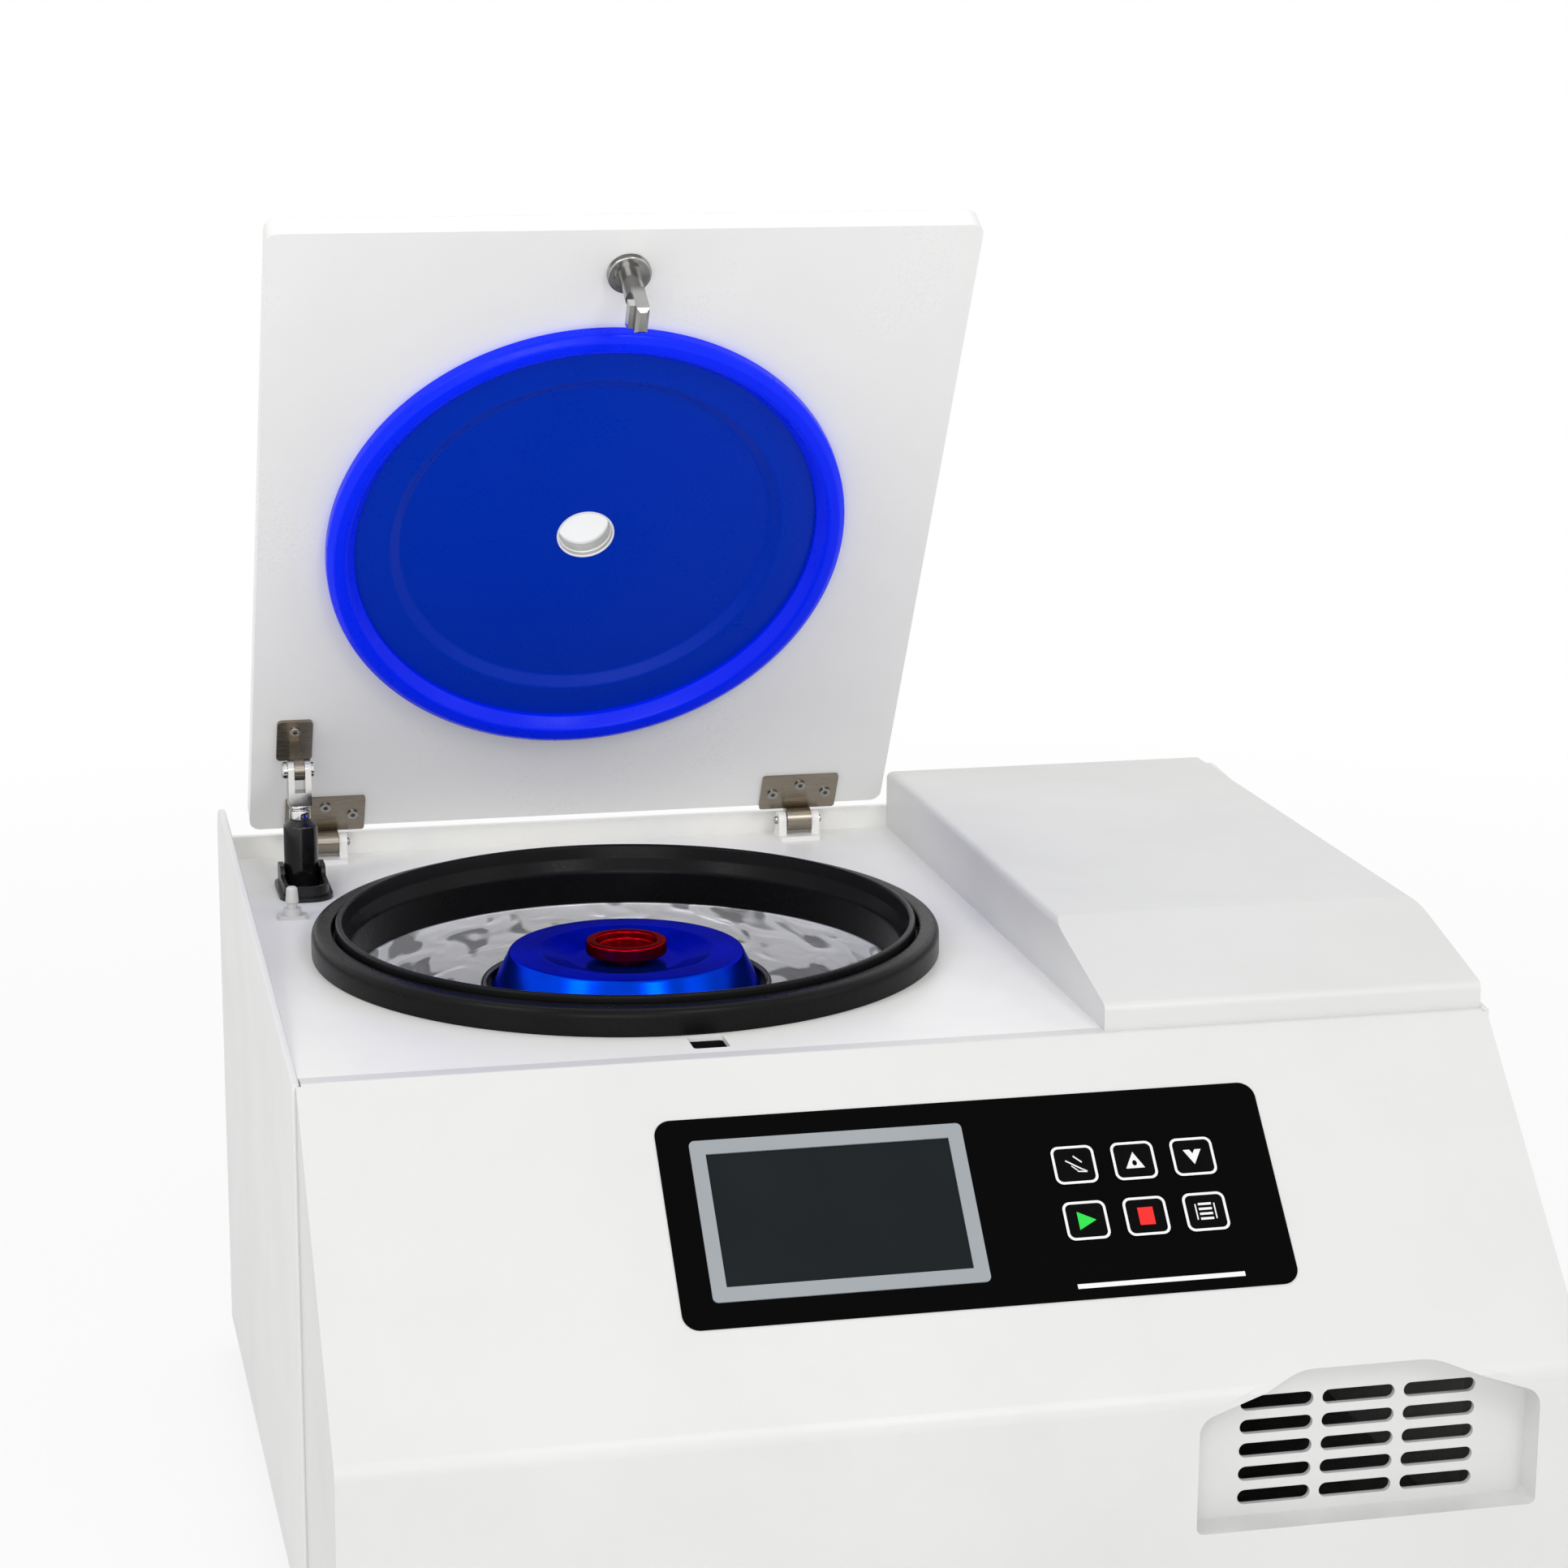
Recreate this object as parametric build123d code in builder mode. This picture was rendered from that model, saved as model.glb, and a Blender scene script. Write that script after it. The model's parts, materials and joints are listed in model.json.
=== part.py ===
"""Bench centrifuge with a cooled chamber, its lid standing open. Millimetres, +Z up."""
from build123d import *
from math import cos, radians, sin, tan
import os

# Casing
body_width = 658.0
deck_height = 330.0
slope_run = 150.0
slope_angle = 45.0
foot_height = 20.0
foot_inset = 55.0
side_thickness = 4.0
rear_thickness = 5.0
front_wall = 2.5
deck_thickness = 3.0
tray_thickness = 3.0
front_return = 10.0
front_inset = 2.0
seam = 1.0
side_rise = 36.0
side_corner = 26.0
casing_edge = 3.0
knee_radius = 12.0
rear_lip = 14.0

# Chamber
chamber_from_left = 216.0
chamber_from_front = 224.0
gasket_outer = 182.0
gasket_inner = 159.5
gasket_height = 19.0
gasket_band_height = 15.5
gasket_groove = 168.0
gasket_depth = 17.0
gasket_neck = 165.0
deck_hole_clearance = 0.5
bowl_radius = 158.0
bowl_wall = 1.5
bowl_depth = 150.0
bowl_hole = 16.0
bowl_corner = 30.0
coil_sheet = 1.2
coil_radius = 3.5
coil_pitch = 10.0
motor_neck = 15.6

# Rotor
rotor_rim_top = -20.0
rotor_rim_radius = 85.0
rotor_rim_inner = 80.5
rotor_ledge = -27.0
rotor_waist_radius = 68.0
rotor_bottom = -108.0
rotor_flare = 48.0
rotor_cone_radius = 66.0
rotor_cone_foot = -50.0
post_radius = 12.0
post_top = -15.0
stud_top = -6.0
spindle_top = -72.0
rotor_lid_top = -2.0
rotor_lid_radius = 68.0
rotor_skirt_radius = 78.8
rotor_lid_wall = 2.5
dish_radius = 51.0
dish_floor_radius = 32.0
dish_floor = -8.0
tube_count = 6
tube_radius = 10.0
tube_circle = 42.0
tube_tilt = 25.0
tube_length = 50.0
knob_radius = 23.5
knob_bore = 17.5
knob_top = 4.0
knob_height = 8.0
knob_stem_radius = 11.5
collar_radius = 14.0
collar_height = 3.0
stud_radius = 5.0
spindle_radius = 9.0
spindle_bearing_depth = 10.0
running_clearance = 0.05
free_clearance = 0.3

# Lid
lid_width = 410.0
lid_thickness = 17.0
lid_wall = 2.5
lid_skin = 2.0
lid_corner = 7.0
lid_edge = 2.5
lid_from_left = 19.0
lid_gap = 1.3
open_angle = 60.0
hinge_from_front = 458.0
deck_behind_hinge = 16.0
hinge_reach = 6.0
hinge_height = 12.0
seal_outer = 157.0
seal_inner = 140.0
seal_height = 10.0
seal_across = 197.0
liner_outer = 150.0
liner_step_outer = 119.0
liner_step_inner = 112.0
liner_step = 5.0
port_radius = 18.6
port_step_radius = 15.5
port_wall = 2.4
window_thickness = 2.0
striker_across = 205.0
striker_from_tip = 29.0
striker_flange_radius = 12.7
striker_flange_height = 4.0
striker_shaft_radius = 6.2
striker_length = 48.0
blade_thickness = 7.5
blade_width = 17.0
nose_reach = 4.0
nose_height = 5.0
nose_from_tip = 5.0
blade_length = 22.0

# Hinges
leaf_width = 50.0
leaf_height = 28.0
leaf_thickness = 2.0
leaf_overhang = 2.0
leaf_from_edges = (22.0, 329.0)
barrel_overlap = 1.0
barrel_length = 16.0
pin_radius = 2.5
pin_overhang = 2.0
ear_thickness = 5.0
ear_gap = 0.4
bracket_foot = 3.0
screw_head_radius = 3.4
screw_head_height = 1.2
screw_shank_radius = 1.6
leaf_screw_pitch = 17.4
leaf_screw_low = 11.5
leaf_screw_high = 18.5

# Gas spring
spring_across = 26.0
spring_along = 76.0
spring_standoff = 28.0
bracket_width = 22.0
bracket_length = 32.0
bracket_sheet = 2.2
bracket_tongue = 6.0
bolt_radius = 3.0
bolt_head_radius = 5.2
bolt_head_height = 3.0
clevis_width = 14.0
clevis_depth = 13.0
clevis_length = 28.0
clevis_throat = 20.0
stud_neck_radius = 5.2
stud_neck_length = 9.0
cylinder_radius = 10.5
cylinder_length = 186.0
cylinder_wall = 1.8
shoulder_height = 5.0
rod_radius = 4.0
rod_overlap = 60.0
spring_foot_back = -70.0
spring_foot_drop = 252.0
eye_thickness = 4.0
eye_wall = 3.5
anchor_pin_radius = 3.0
anchor_cheek_radius = 6.0
anchor_depth = 40.0
path_error_across = 9.4
path_error_along = 3.6
pin_drop_room = 0.6
anchor_sheet = 3.0
boot_height = 9.0
boot_wall = 2.6
boot_tab_height = 15.0
boot_flange = 2.5
boot_tab_width = 20.0
boot_corner = 9.0

# Controls
plate_from_left = 183.0
plate_width = 328.0
plate_down = 35.0
plate_height = 118.0
plate_corner = 9.0
plate_thickness = 3.0
plate_proud = 0.5
bezel_from_left = 200.0
bezel_width = 146.0
bezel_down = 48.0
bezel_height = 91.0
bezel_border = 8.0
bezel_proud = 0.8
key_width = 24.0
key_height = 22.5
key_corner = 4.5
key_pitch_across = 32.8
key_pitch_down = 32.2
key_from_right = 42.4
key_first_down = 76.7
key_gap = 0.3
key_proud = 0.4
key_flange = 1.0
key_plunger = 2.0
key_travel = 0.8
board_thickness = 1.6
board_inset_across = 14.0
board_inset_down = 9.0
board_post_across = 22.0
board_post_down = 14.0
board_post_radius = 3.0
screen_back_inset = 2.0
switch_gap = 0.2

# Deck cover over the cooling unit
cover_from_left = 437.0
cover_height = 38.0
cover_front_height = 14.0
cover_crease = 103.0
cover_wall = 2.5
cover_edge = 5.0

# Lid sensor and lock
sensor_from_left = 32.0
sensor_from_front = 324.0
sensor_base_length = 18.0
sensor_base_width = 10.5
sensor_base_height = 2.2
sensor_collar_radius = 5.4
sensor_collar_height = 4.0
sensor_pin_radius = 3.0
sensor_pin_top = 19.6
sensor_pin_seat = 7.0
sensor_travel = 3.0
slot_width = 20.0
slot_length = 22.0
lock_wall = 3.0
lock_depth = 42.0
latch_travel = 5.0
latch_thickness = 5.0
latch_width = 12.0
latch_grip = 21.0
lock_play = 0.6

# Services inside and at the rear
motor_radius = 62.0
motor_top = -172.0
motor_wall = 8.0
armature_radius = 40.0
damper_height = 15.0
damper_radius = 12.0
armature_gap = 12.0
damper_circle_radius = 48.0
intake_from_right = 25.0
intake_width = 193.0
intake_top = 139.0
intake_bottom = 228.0
intake_depth = 22.0
intake_shoulder_run = 60.0
intake_shoulder_drop = 20.5
intake_bend = 45.0
intake_corner = 14.0
intake_slot = 40.0
intake_bar = 5.0
intake_pitch = 13.0
grille_wall = 3.0
grille_first_row = 24.0
vent_length = 70.0
vent_bar = 8.0
vent_pitch = 12.0
vent_rows = 12
fan_radius = 62.0
fan_hub_radius = 20.0
fan_blades = 7
fan_depth = 22.0
fan_shaft_radius = 4.0
condenser_width = 190.0
condenser_height = 170.0
condenser_depth = 44.0
condenser_fin_pitch = 9.0
compressor_radius = 62.0
compressor_from_front = 330.0
compressor_height = 150.0
compressor_dome = 30.0
compressor_underside = 12.0
compressor_standoff = 8.0
compressor_seam_height = 50.0
compressor_seam_width = 5.0
compressor_seam_proud = 3.0
compressor_foot_inset = 20.0
compressor_foot_radius = 11.0
compressor_foot_height = 16.0
compressor_pipe_offset = 20.0
compressor_pipe_radius = 6.0
compressor_pipe_rise = 14.0
inlet_from_left = 110.0
inlet_above_floor = 80.0
cooler_from_right = 113.0
inlet_width = 48.0
inlet_height = 28.0
inlet_depth = 26.0
rocker_width = 14.0
rocker_height = 24.0
rocker_tilt = 12.0
rocker_sink = 8.0
rocker_back = 3.0
rocker_room = 2.5
rocker_stub = 1.5
socket_width = 24.0
socket_height = 20.0
socket_depth = 18.0

# Places worked out from the sizes above
deck_depth = hinge_from_front + deck_behind_hinge
body_depth = slope_run + deck_depth + rear_thickness
left_x = -body_width / 2
right_x = body_width / 2
front_y = -body_depth / 2
rear_y = body_depth / 2
deck_front_y = front_y + slope_run
deck_rear_y = deck_front_y + deck_depth
slope_drop = slope_run / sin(radians(slope_angle)) * cos(radians(slope_angle))
slope_foot_z = deck_height - slope_drop
tray_top_z = foot_height + tray_thickness
chamber_x = left_x + chamber_from_left
chamber_y = deck_front_y + chamber_from_front
chamber_axis = Axis((chamber_x, chamber_y, 0), (0, 0, 1))
chamber_plane = Plane(origin=(chamber_x, chamber_y, deck_height), x_dir=(1, 0, 0), z_dir=(0, -1, 0))
panel_tilt = radians(slope_angle)
panel_normal = (0, -cos(panel_tilt), sin(panel_tilt))
panel_plane = Plane(origin=(left_x, deck_front_y, deck_height), x_dir=(1, 0, 0), z_dir=panel_normal)
swing = radians(open_angle)
lid_normal = (0, -sin(swing), -cos(swing))
hinge_y = deck_front_y + hinge_from_front
hinge_z = deck_height + hinge_height
hinge_drop = gasket_height + lid_gap - hinge_height
lid_left_x = left_x + lid_from_left
hinge_plane = Plane(origin=(lid_left_x, hinge_y, hinge_z), x_dir=(1, 0, 0), z_dir=lid_normal)
lid_origin = hinge_plane.from_local_coords(Vector(0, hinge_reach, -hinge_drop))
lid_face = Plane(origin=lid_origin, x_dir=(1, 0, 0), z_dir=lid_normal)
lid_length = hinge_from_front - hinge_reach
seal_along = lid_length - chamber_from_front
seal_centre = lid_face.from_local_coords(Vector(seal_across, seal_along, 0))
seal_axis = Axis(seal_centre, lid_normal)
seal_plane = Plane(origin=seal_centre, x_dir=(1, 0, 0), z_dir=(0, cos(swing), -sin(swing)))
striker_along = lid_length - striker_from_tip
striker_centre = lid_face.from_local_coords(Vector(striker_across, striker_along, 0))
striker_plane = Plane(origin=striker_centre, x_dir=(1, 0, 0), z_dir=lid_normal)
slot_x = lid_left_x + striker_across
slot_y = hinge_y - hinge_reach - striker_along

# The gas spring hangs from a bolt on the lid and stands on an anchor in the casing
spring_x = lid_left_x + spring_across
spring_top = hinge_plane.from_local_coords(Vector(spring_across, hinge_reach + spring_along,
                                                  spring_standoff - hinge_drop))
spring_foot = Vector(spring_x, hinge_y + spring_foot_back, hinge_z - spring_foot_drop)
spring_vector = spring_top - spring_foot
spring_length = spring_vector.length


def shut(point):
    """The place of a lid point, given at rest, when the lid is down."""
    y = point.Y - hinge_y
    z = point.Z - hinge_z
    turn = radians(open_angle)
    return Vector(point.X, hinge_y + y * cos(turn) - z * sin(turn), hinge_z + y * sin(turn) + z * cos(turn))


spring_top_shut = shut(spring_top)
deck_share = (deck_height - spring_foot.Z) / (spring_top.Z - spring_foot.Z)
spring_deck_y = spring_foot.Y + (spring_top.Y - spring_foot.Y) * deck_share
spring_deck_y_shut = spring_foot.Y + (spring_top_shut.Y - spring_foot.Y)
boot_inside = 2 * (cylinder_radius + 0.7)
boot_back_y = spring_deck_y + cylinder_radius + 3.0
boot_front_y = spring_deck_y_shut - cylinder_radius - 3.5
boot_y = (boot_back_y + boot_front_y) / 2
boot_inner_length = boot_back_y - boot_front_y

finished = []


def keep(piece, name):
    """Name a finished piece and put it on the list of files to write."""
    piece.part.label = name
    finished.append(piece.part)


# Base tray: the plate that carries the feet and all the machinery
with BuildPart() as base_tray:
    with BuildSketch(Plane.XY.offset(foot_height)):
        with Locations((0, (deck_front_y + deck_rear_y) / 2)):
            Rectangle(body_width - 2 * side_thickness, deck_depth)
        with Locations((0, (front_y + front_wall + deck_front_y) / 2)):
            Rectangle(body_width - 2 * (front_inset + front_wall), slope_run - front_wall)
    extrude(amount=tray_thickness)
keep(base_tray, "base_tray")

# Four rubber feet
foot_span_x = body_width - 2 * foot_inset
foot_span_y = body_depth - 2 * foot_inset
foot_radius = 20.0
with BuildPart() as rubber_feet:
    with BuildSketch():
        with GridLocations(foot_span_x, foot_span_y, 2, 2):
            Circle(foot_radius)
    extrude(amount=foot_height)
    chamfer(rubber_feet.edges().group_by(Axis.Z)[0], 3.0)
keep(rubber_feet, "rubber_feet")


def facing_right(x):
    """A plane across the machine at x, with Y to its right and Z up."""
    return Plane(origin=(x, 0, 0), x_dir=(0, 1, 0), z_dir=(1, 0, 0))


def facing_front(y):
    """A plane square to Y, seen from the front, with X to its right and Z up."""
    return Plane(origin=(0, y, 0), x_dir=(1, 0, 0), z_dir=(0, -1, 0))


# Side panels: sheets whose top edge climbs from the deck's front to a rounded rear corner
side_profile = [
    (deck_front_y, foot_height),
    (rear_y, foot_height),
    (rear_y, deck_height + side_rise),
    (rear_y - side_corner, deck_height + side_rise),
    (deck_front_y, deck_height),
]


def side_panel_at(x, name):
    """One side panel, standing from x to the right by its thickness."""
    with BuildPart() as panel:
        with BuildSketch(facing_right(x)) as outline:
            with BuildLine():
                Polyline(*side_profile, close=True)
            make_face()
            fillet(outline.vertices().sort_by(lambda v: v.X + v.Y)[-1], side_corner * 0.8)
        extrude(amount=side_thickness)
        fillet(panel.edges().filter_by(Axis.X, reverse=True), 1.2)
    keep(panel, name)


side_panel_at(left_x, "left_side_panel")
side_panel_at(right_x - side_thickness, "right_side_panel")

# Front cover: a sloped face with cheeks, an upright foot and a short return onto the deck
cheek_left_x = left_x + front_inset
cheek_right_x = right_x - front_inset
cover_inside_x = cheek_left_x + front_wall
return_back_y = deck_front_y + front_return
front_back_y = deck_front_y - seam
intake_middle_x = right_x - intake_from_right - intake_width / 2


def front_profile(inset, back_y):
    """The front cover's side view, drawn inset from its outer skin and closed at back_y."""
    knee = inset * tan(panel_tilt / 2)
    return [
        (back_y, foot_height - inset),
        (front_y + inset, foot_height - inset),
        (front_y + inset, slope_foot_z - knee),
        (deck_front_y + knee, deck_height - inset),
        (back_y, deck_height - inset),
    ]


def intake_outline(inset):
    """The intake's outline seen from the front, with sloping shoulders, drawn inset from its edge."""
    left = intake_middle_x - intake_width / 2
    right = intake_middle_x + intake_width / 2
    top = deck_height - intake_top - inset
    shoulder = top - intake_shoulder_drop
    bottom = deck_height - intake_bottom + inset
    with BuildSketch() as outline:
        with BuildLine():
            Polyline((left + inset, bottom), (left + inset, shoulder), (left + intake_shoulder_run, top),
                     (right - intake_shoulder_run, top), (right - inset, shoulder), (right - inset, bottom),
                     close=True)
        make_face()
        fillet(outline.vertices().group_by(Axis.Y)[-1], intake_bend)
        fillet(outline.vertices().filter_by(lambda v: abs(v.Y - shoulder) < 0.1), intake_corner - inset)
        fillet(outline.vertices().group_by(Axis.Y)[0], intake_corner / 2 - inset)
    return outline.sketch


def on_line(y, z):
    """A filter for edges along X whose middle is at this y and z."""
    return lambda edge: abs(edge.center().Y - y) < 0.1 and abs(edge.center().Z - z) < 0.1


front_span = body_width - 2 * (front_inset + front_wall)
plate_centre = (plate_from_left + plate_width / 2, -(plate_down + plate_height / 2))
with BuildPart() as front_cover:
    with BuildSketch(facing_right(cover_inside_x)):
        with BuildLine():
            Polyline(*front_profile(0, return_back_y), close=True)
        make_face()
    extrude(amount=front_span)
    with BuildSketch(facing_right(cheek_left_x)):
        with BuildLine():
            Polyline((front_back_y, foot_height), (front_y, foot_height), (front_y, slope_foot_z),
                     (front_back_y, deck_height - seam), close=True)
        make_face()
    extrude(amount=cheek_right_x - cheek_left_x)
    fillet(front_cover.edges().filter_by(Axis.X).filter_by(on_line(deck_front_y, deck_height)), casing_edge)
    fillet(front_cover.edges().filter_by(Axis.X).filter_by(on_line(front_y, slope_foot_z)), knee_radius)
    with BuildSketch(facing_right(cover_inside_x)):
        with BuildLine():
            Polyline(*front_profile(front_wall, return_back_y + seam), close=True)
        make_face()
    extrude(amount=front_span, mode=Mode.SUBTRACT)
    with BuildSketch(panel_plane):
        with Locations(plate_centre):
            RectangleRounded(plate_width, plate_height, plate_corner)
    extrude(amount=-2 * front_wall, mode=Mode.SUBTRACT)
    with BuildSketch(facing_front(front_y)):
        add(intake_outline(0))
    extrude(amount=-slope_run / 2, mode=Mode.SUBTRACT)
keep(front_cover, "front_cover")

# Intake grille: a shallow pan set in the front cover, its back wall cut into bars
grille_middle_z = deck_height - intake_top - grille_first_row - 2 * intake_pitch
with BuildPart() as intake_grille:
    with BuildSketch(facing_front(front_y)):
        add(intake_outline(0))
    extrude(amount=-intake_depth)
    with BuildSketch(facing_right(cover_inside_x)):
        with BuildLine():
            Polyline(*front_profile(0, return_back_y), close=True)
        make_face()
    extrude(amount=front_span, mode=Mode.INTERSECT)
    with BuildSketch(facing_front(front_y)):
        add(intake_outline(grille_wall))
    extrude(amount=-(intake_depth - grille_wall), mode=Mode.SUBTRACT)
    with BuildSketch(facing_front(front_y)):
        with Locations((intake_middle_x, grille_middle_z)):
            with GridLocations(intake_slot + intake_bar, intake_pitch, 3, 5):
                SlotOverall(intake_slot, intake_pitch - intake_bar)
    extrude(amount=-intake_depth, mode=Mode.SUBTRACT)
keep(intake_grille, "intake_grille")

# Rear panel: a sheet with a fan vent and a cut-out for the power inlet
inlet_x = left_x + inlet_from_left
inlet_z = inlet_above_floor
cooler_x = right_x - cooler_from_right
condenser_z = tray_top_z + condenser_height / 2
rear_top_z = deck_height + rear_lip
with BuildPart() as rear_panel:
    with BuildSketch(facing_front(deck_rear_y)):
        with Locations((0, (foot_height + rear_top_z) / 2)):
            Rectangle(body_width - 2 * side_thickness, rear_top_z - foot_height)
        with Locations((inlet_x, inlet_z)):
            Rectangle(inlet_width, inlet_height, mode=Mode.SUBTRACT)
        with Locations((cooler_x, condenser_z)):
            with GridLocations(vent_length + vent_bar, vent_pitch, 2, vent_rows):
                SlotOverall(vent_length, vent_pitch / 2, mode=Mode.SUBTRACT)
    extrude(amount=-rear_thickness)
keep(rear_panel, "rear_panel")

# Deck plate, with openings for the chamber, the striker, the gas spring and the sensor pin
sensor_x = left_x + sensor_from_left
sensor_y = deck_front_y + sensor_from_front
cover_left_x = left_x + cover_from_left
with BuildPart() as deck_plate:
    with BuildSketch(Plane.XY.offset(deck_height - deck_thickness)):
        with Locations((0, (return_back_y + deck_rear_y) / 2)):
            Rectangle(body_width - 2 * side_thickness, deck_rear_y - return_back_y)
        with Locations((chamber_x, chamber_y)):
            Circle(gasket_neck + deck_hole_clearance, mode=Mode.SUBTRACT)
        with Locations((slot_x, slot_y)):
            RectangleRounded(slot_width, slot_length, 2.0, mode=Mode.SUBTRACT)
        with Locations((spring_x, boot_y)):
            RectangleRounded(boot_inside, boot_inner_length, boot_corner, mode=Mode.SUBTRACT)
        with Locations((sensor_x, sensor_y)):
            Circle(sensor_pin_radius + free_clearance, mode=Mode.SUBTRACT)
    extrude(amount=deck_thickness)
keep(deck_plate, "deck_plate")

# Deck cover: a hollow wedge over the cooling unit, flat at the back and sloping to the front
cover_front_y = deck_front_y + casing_edge + seam
cover_crease_y = deck_front_y + cover_crease
cover_span = right_x - side_thickness - cover_left_x


def cover_profile(inset):
    """The deck cover's side view, drawn inset from its outer skin and open below."""
    top = deck_height + cover_height - inset
    return [
        (cover_front_y + inset, deck_height - inset),
        (cover_front_y + inset, deck_height + cover_front_height - inset),
        (cover_crease_y, top),
        (deck_rear_y - inset, top),
        (deck_rear_y - inset, deck_height - inset),
    ]


with BuildPart() as deck_cover:
    with BuildSketch(facing_right(cover_left_x)):
        with BuildLine():
            Polyline(*cover_profile(0), close=True)
        make_face()
    extrude(amount=cover_span)
    shoulder_z = deck_height + cover_front_height / 2 + 1
    shoulder = deck_cover.edges().filter_by(lambda e: e.center().Z > shoulder_z)
    fillet(shoulder.filter_by(lambda e: e.bounding_box().size.Z < cover_front_height - 1
                              or e.length > cover_crease), cover_edge)
    with BuildSketch(facing_right(cover_left_x + cover_wall)):
        with BuildLine():
            Polyline(*cover_profile(cover_wall), close=True)
        make_face()
    extrude(amount=cover_span - 2 * cover_wall, mode=Mode.SUBTRACT)
keep(deck_cover, "deck_cover")

# Control plate with its screen, bezel, keys and the board behind
plate_front = panel_plane.offset(plate_proud)
plate_back = panel_plane.offset(plate_proud - plate_thickness)
screen_centre = (bezel_from_left + bezel_width / 2, -(bezel_down + bezel_height / 2))
screen_width = bezel_width - 2 * bezel_border
screen_height = bezel_height - 2 * bezel_border


def key_place(column, row):
    """The middle of a key on the control plate."""
    last = plate_from_left + plate_width - key_from_right
    across = last - (2 - column) * key_pitch_across
    return (across, -(key_first_down + row * key_pitch_down))


key_names = [["key_pulse", "key_up", "key_down"], ["key_start", "key_stop", "key_menu"]]
with BuildPart() as control_plate:
    with BuildSketch(plate_back):
        with Locations(plate_centre):
            RectangleRounded(plate_width, plate_height, plate_corner)
        with Locations(screen_centre):
            Rectangle(screen_width, screen_height, mode=Mode.SUBTRACT)
        for row in range(2):
            for column in range(3):
                with Locations(key_place(column, row)):
                    RectangleRounded(key_width + 2 * key_gap, key_height + 2 * key_gap,
                                     key_corner + key_gap, mode=Mode.SUBTRACT)
    extrude(amount=plate_thickness)
keep(control_plate, "control_plate")

with BuildPart() as screen_bezel:
    with BuildSketch(plate_front):
        with Locations(screen_centre):
            RectangleRounded(bezel_width, bezel_height, 3.0)
            Rectangle(screen_width, screen_height, mode=Mode.SUBTRACT)
    extrude(amount=bezel_proud)
keep(screen_bezel, "screen_bezel")

with BuildPart() as screen_glass:
    with BuildSketch(plate_back):
        with Locations(screen_centre):
            Rectangle(screen_width, screen_height)
    extrude(amount=plate_thickness)
keep(screen_glass, "screen_glass")

for row in range(2):
    for column in range(3):
        with BuildPart() as key:
            with BuildSketch(plate_back):
                with Locations(key_place(column, row)):
                    RectangleRounded(key_width, key_height, key_corner)
            extrude(amount=plate_thickness + key_proud)
            fillet(key.faces().sort_by(Axis(panel_plane.origin, panel_normal))[-1].edges(), key_proud * 0.7)
            with BuildSketch(plate_back.offset(-key_flange)):
                with Locations(key_place(column, row)):
                    RectangleRounded(key_width + 3, key_height + 3, key_corner)
            extrude(amount=key_flange)
            with BuildSketch(plate_back.offset(-key_flange - key_plunger)):
                with Locations(key_place(column, row)):
                    Circle(2.0)
            extrude(amount=key_plunger)
        keep(key, key_names[row][column])

board_gap = key_flange + key_plunger + key_travel + switch_gap
board_front = plate_back.offset(-board_gap)
with BuildPart() as control_board:
    with BuildSketch(board_front.offset(-board_thickness)):
        with Locations(plate_centre):
            Rectangle(plate_width - 2 * board_inset_across, plate_height - 2 * board_inset_down)
    extrude(amount=board_thickness)
    with BuildSketch(board_front):
        with Locations(screen_centre):
            Rectangle(screen_width - 2 * screen_back_inset, screen_height - 2 * screen_back_inset)
        with Locations(plate_centre):
            with GridLocations(plate_width - 2 * board_post_across,
                               plate_height - 2 * board_post_down, 2, 2):
                Circle(board_post_radius)
    extrude(amount=board_gap)
keep(control_board, "control_board")


def turned(plane, axis, points):
    """A solid turned about an axis from a closed profile of (radius, height) points."""
    with BuildPart() as piece:
        with BuildSketch(plane):
            with BuildLine():
                Polyline(*points, close=True)
            make_face()
        revolve(axis=axis)
    return piece


def corner_at(sketch, radius, height):
    """The vertex of a turned profile's sketch at this radius and height."""
    return sketch.vertices().sort_by(lambda v: abs(v.X - radius) + abs(v.Y - height))[0]


# Chamber: a rubber gasket on the deck, the bowl below it, its cooling coil and foam
gasket_points = [
    (gasket_outer, 0), (gasket_outer, gasket_band_height), (gasket_groove + 2, gasket_band_height),
    (gasket_groove + 2, gasket_band_height / 2), (gasket_groove, gasket_band_height / 2),
    (gasket_groove, gasket_height), (gasket_inner, gasket_height), (gasket_inner, -gasket_depth),
    (gasket_neck, -gasket_depth), (gasket_neck, 0),
]
with BuildPart() as chamber_gasket:
    with BuildSketch(chamber_plane) as section:
        with BuildLine():
            Polyline(*gasket_points, close=True)
        make_face()
        fillet(corner_at(section, gasket_outer, gasket_band_height), 4.0)
        fillet(corner_at(section, gasket_groove + 2, gasket_band_height), 2.5)
        fillet(corner_at(section, gasket_groove, gasket_height), 3.5)
        fillet(corner_at(section, gasket_inner, gasket_height), 3.5)
    revolve(axis=chamber_axis)
keep(chamber_gasket, "chamber_gasket")

bowl_outside = bowl_radius + bowl_wall
flange_bottom = -gasket_depth - bowl_wall
bowl_points = [
    (gasket_neck, -gasket_depth), (gasket_neck, flange_bottom), (bowl_outside, flange_bottom),
    (bowl_outside, -bowl_depth - bowl_wall), (bowl_hole, -bowl_depth - bowl_wall),
    (bowl_hole, -bowl_depth), (bowl_radius, -bowl_depth), (bowl_radius, -gasket_depth),
]
with BuildPart() as chamber_bowl:
    with BuildSketch(chamber_plane) as section:
        with BuildLine():
            Polyline(*bowl_points, close=True)
        make_face()
        fillet(corner_at(section, bowl_outside, -bowl_depth - bowl_wall), bowl_corner + bowl_wall)
        fillet(corner_at(section, bowl_radius, -bowl_depth), bowl_corner)
    revolve(axis=chamber_axis)
keep(chamber_bowl, "chamber_bowl")

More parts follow.
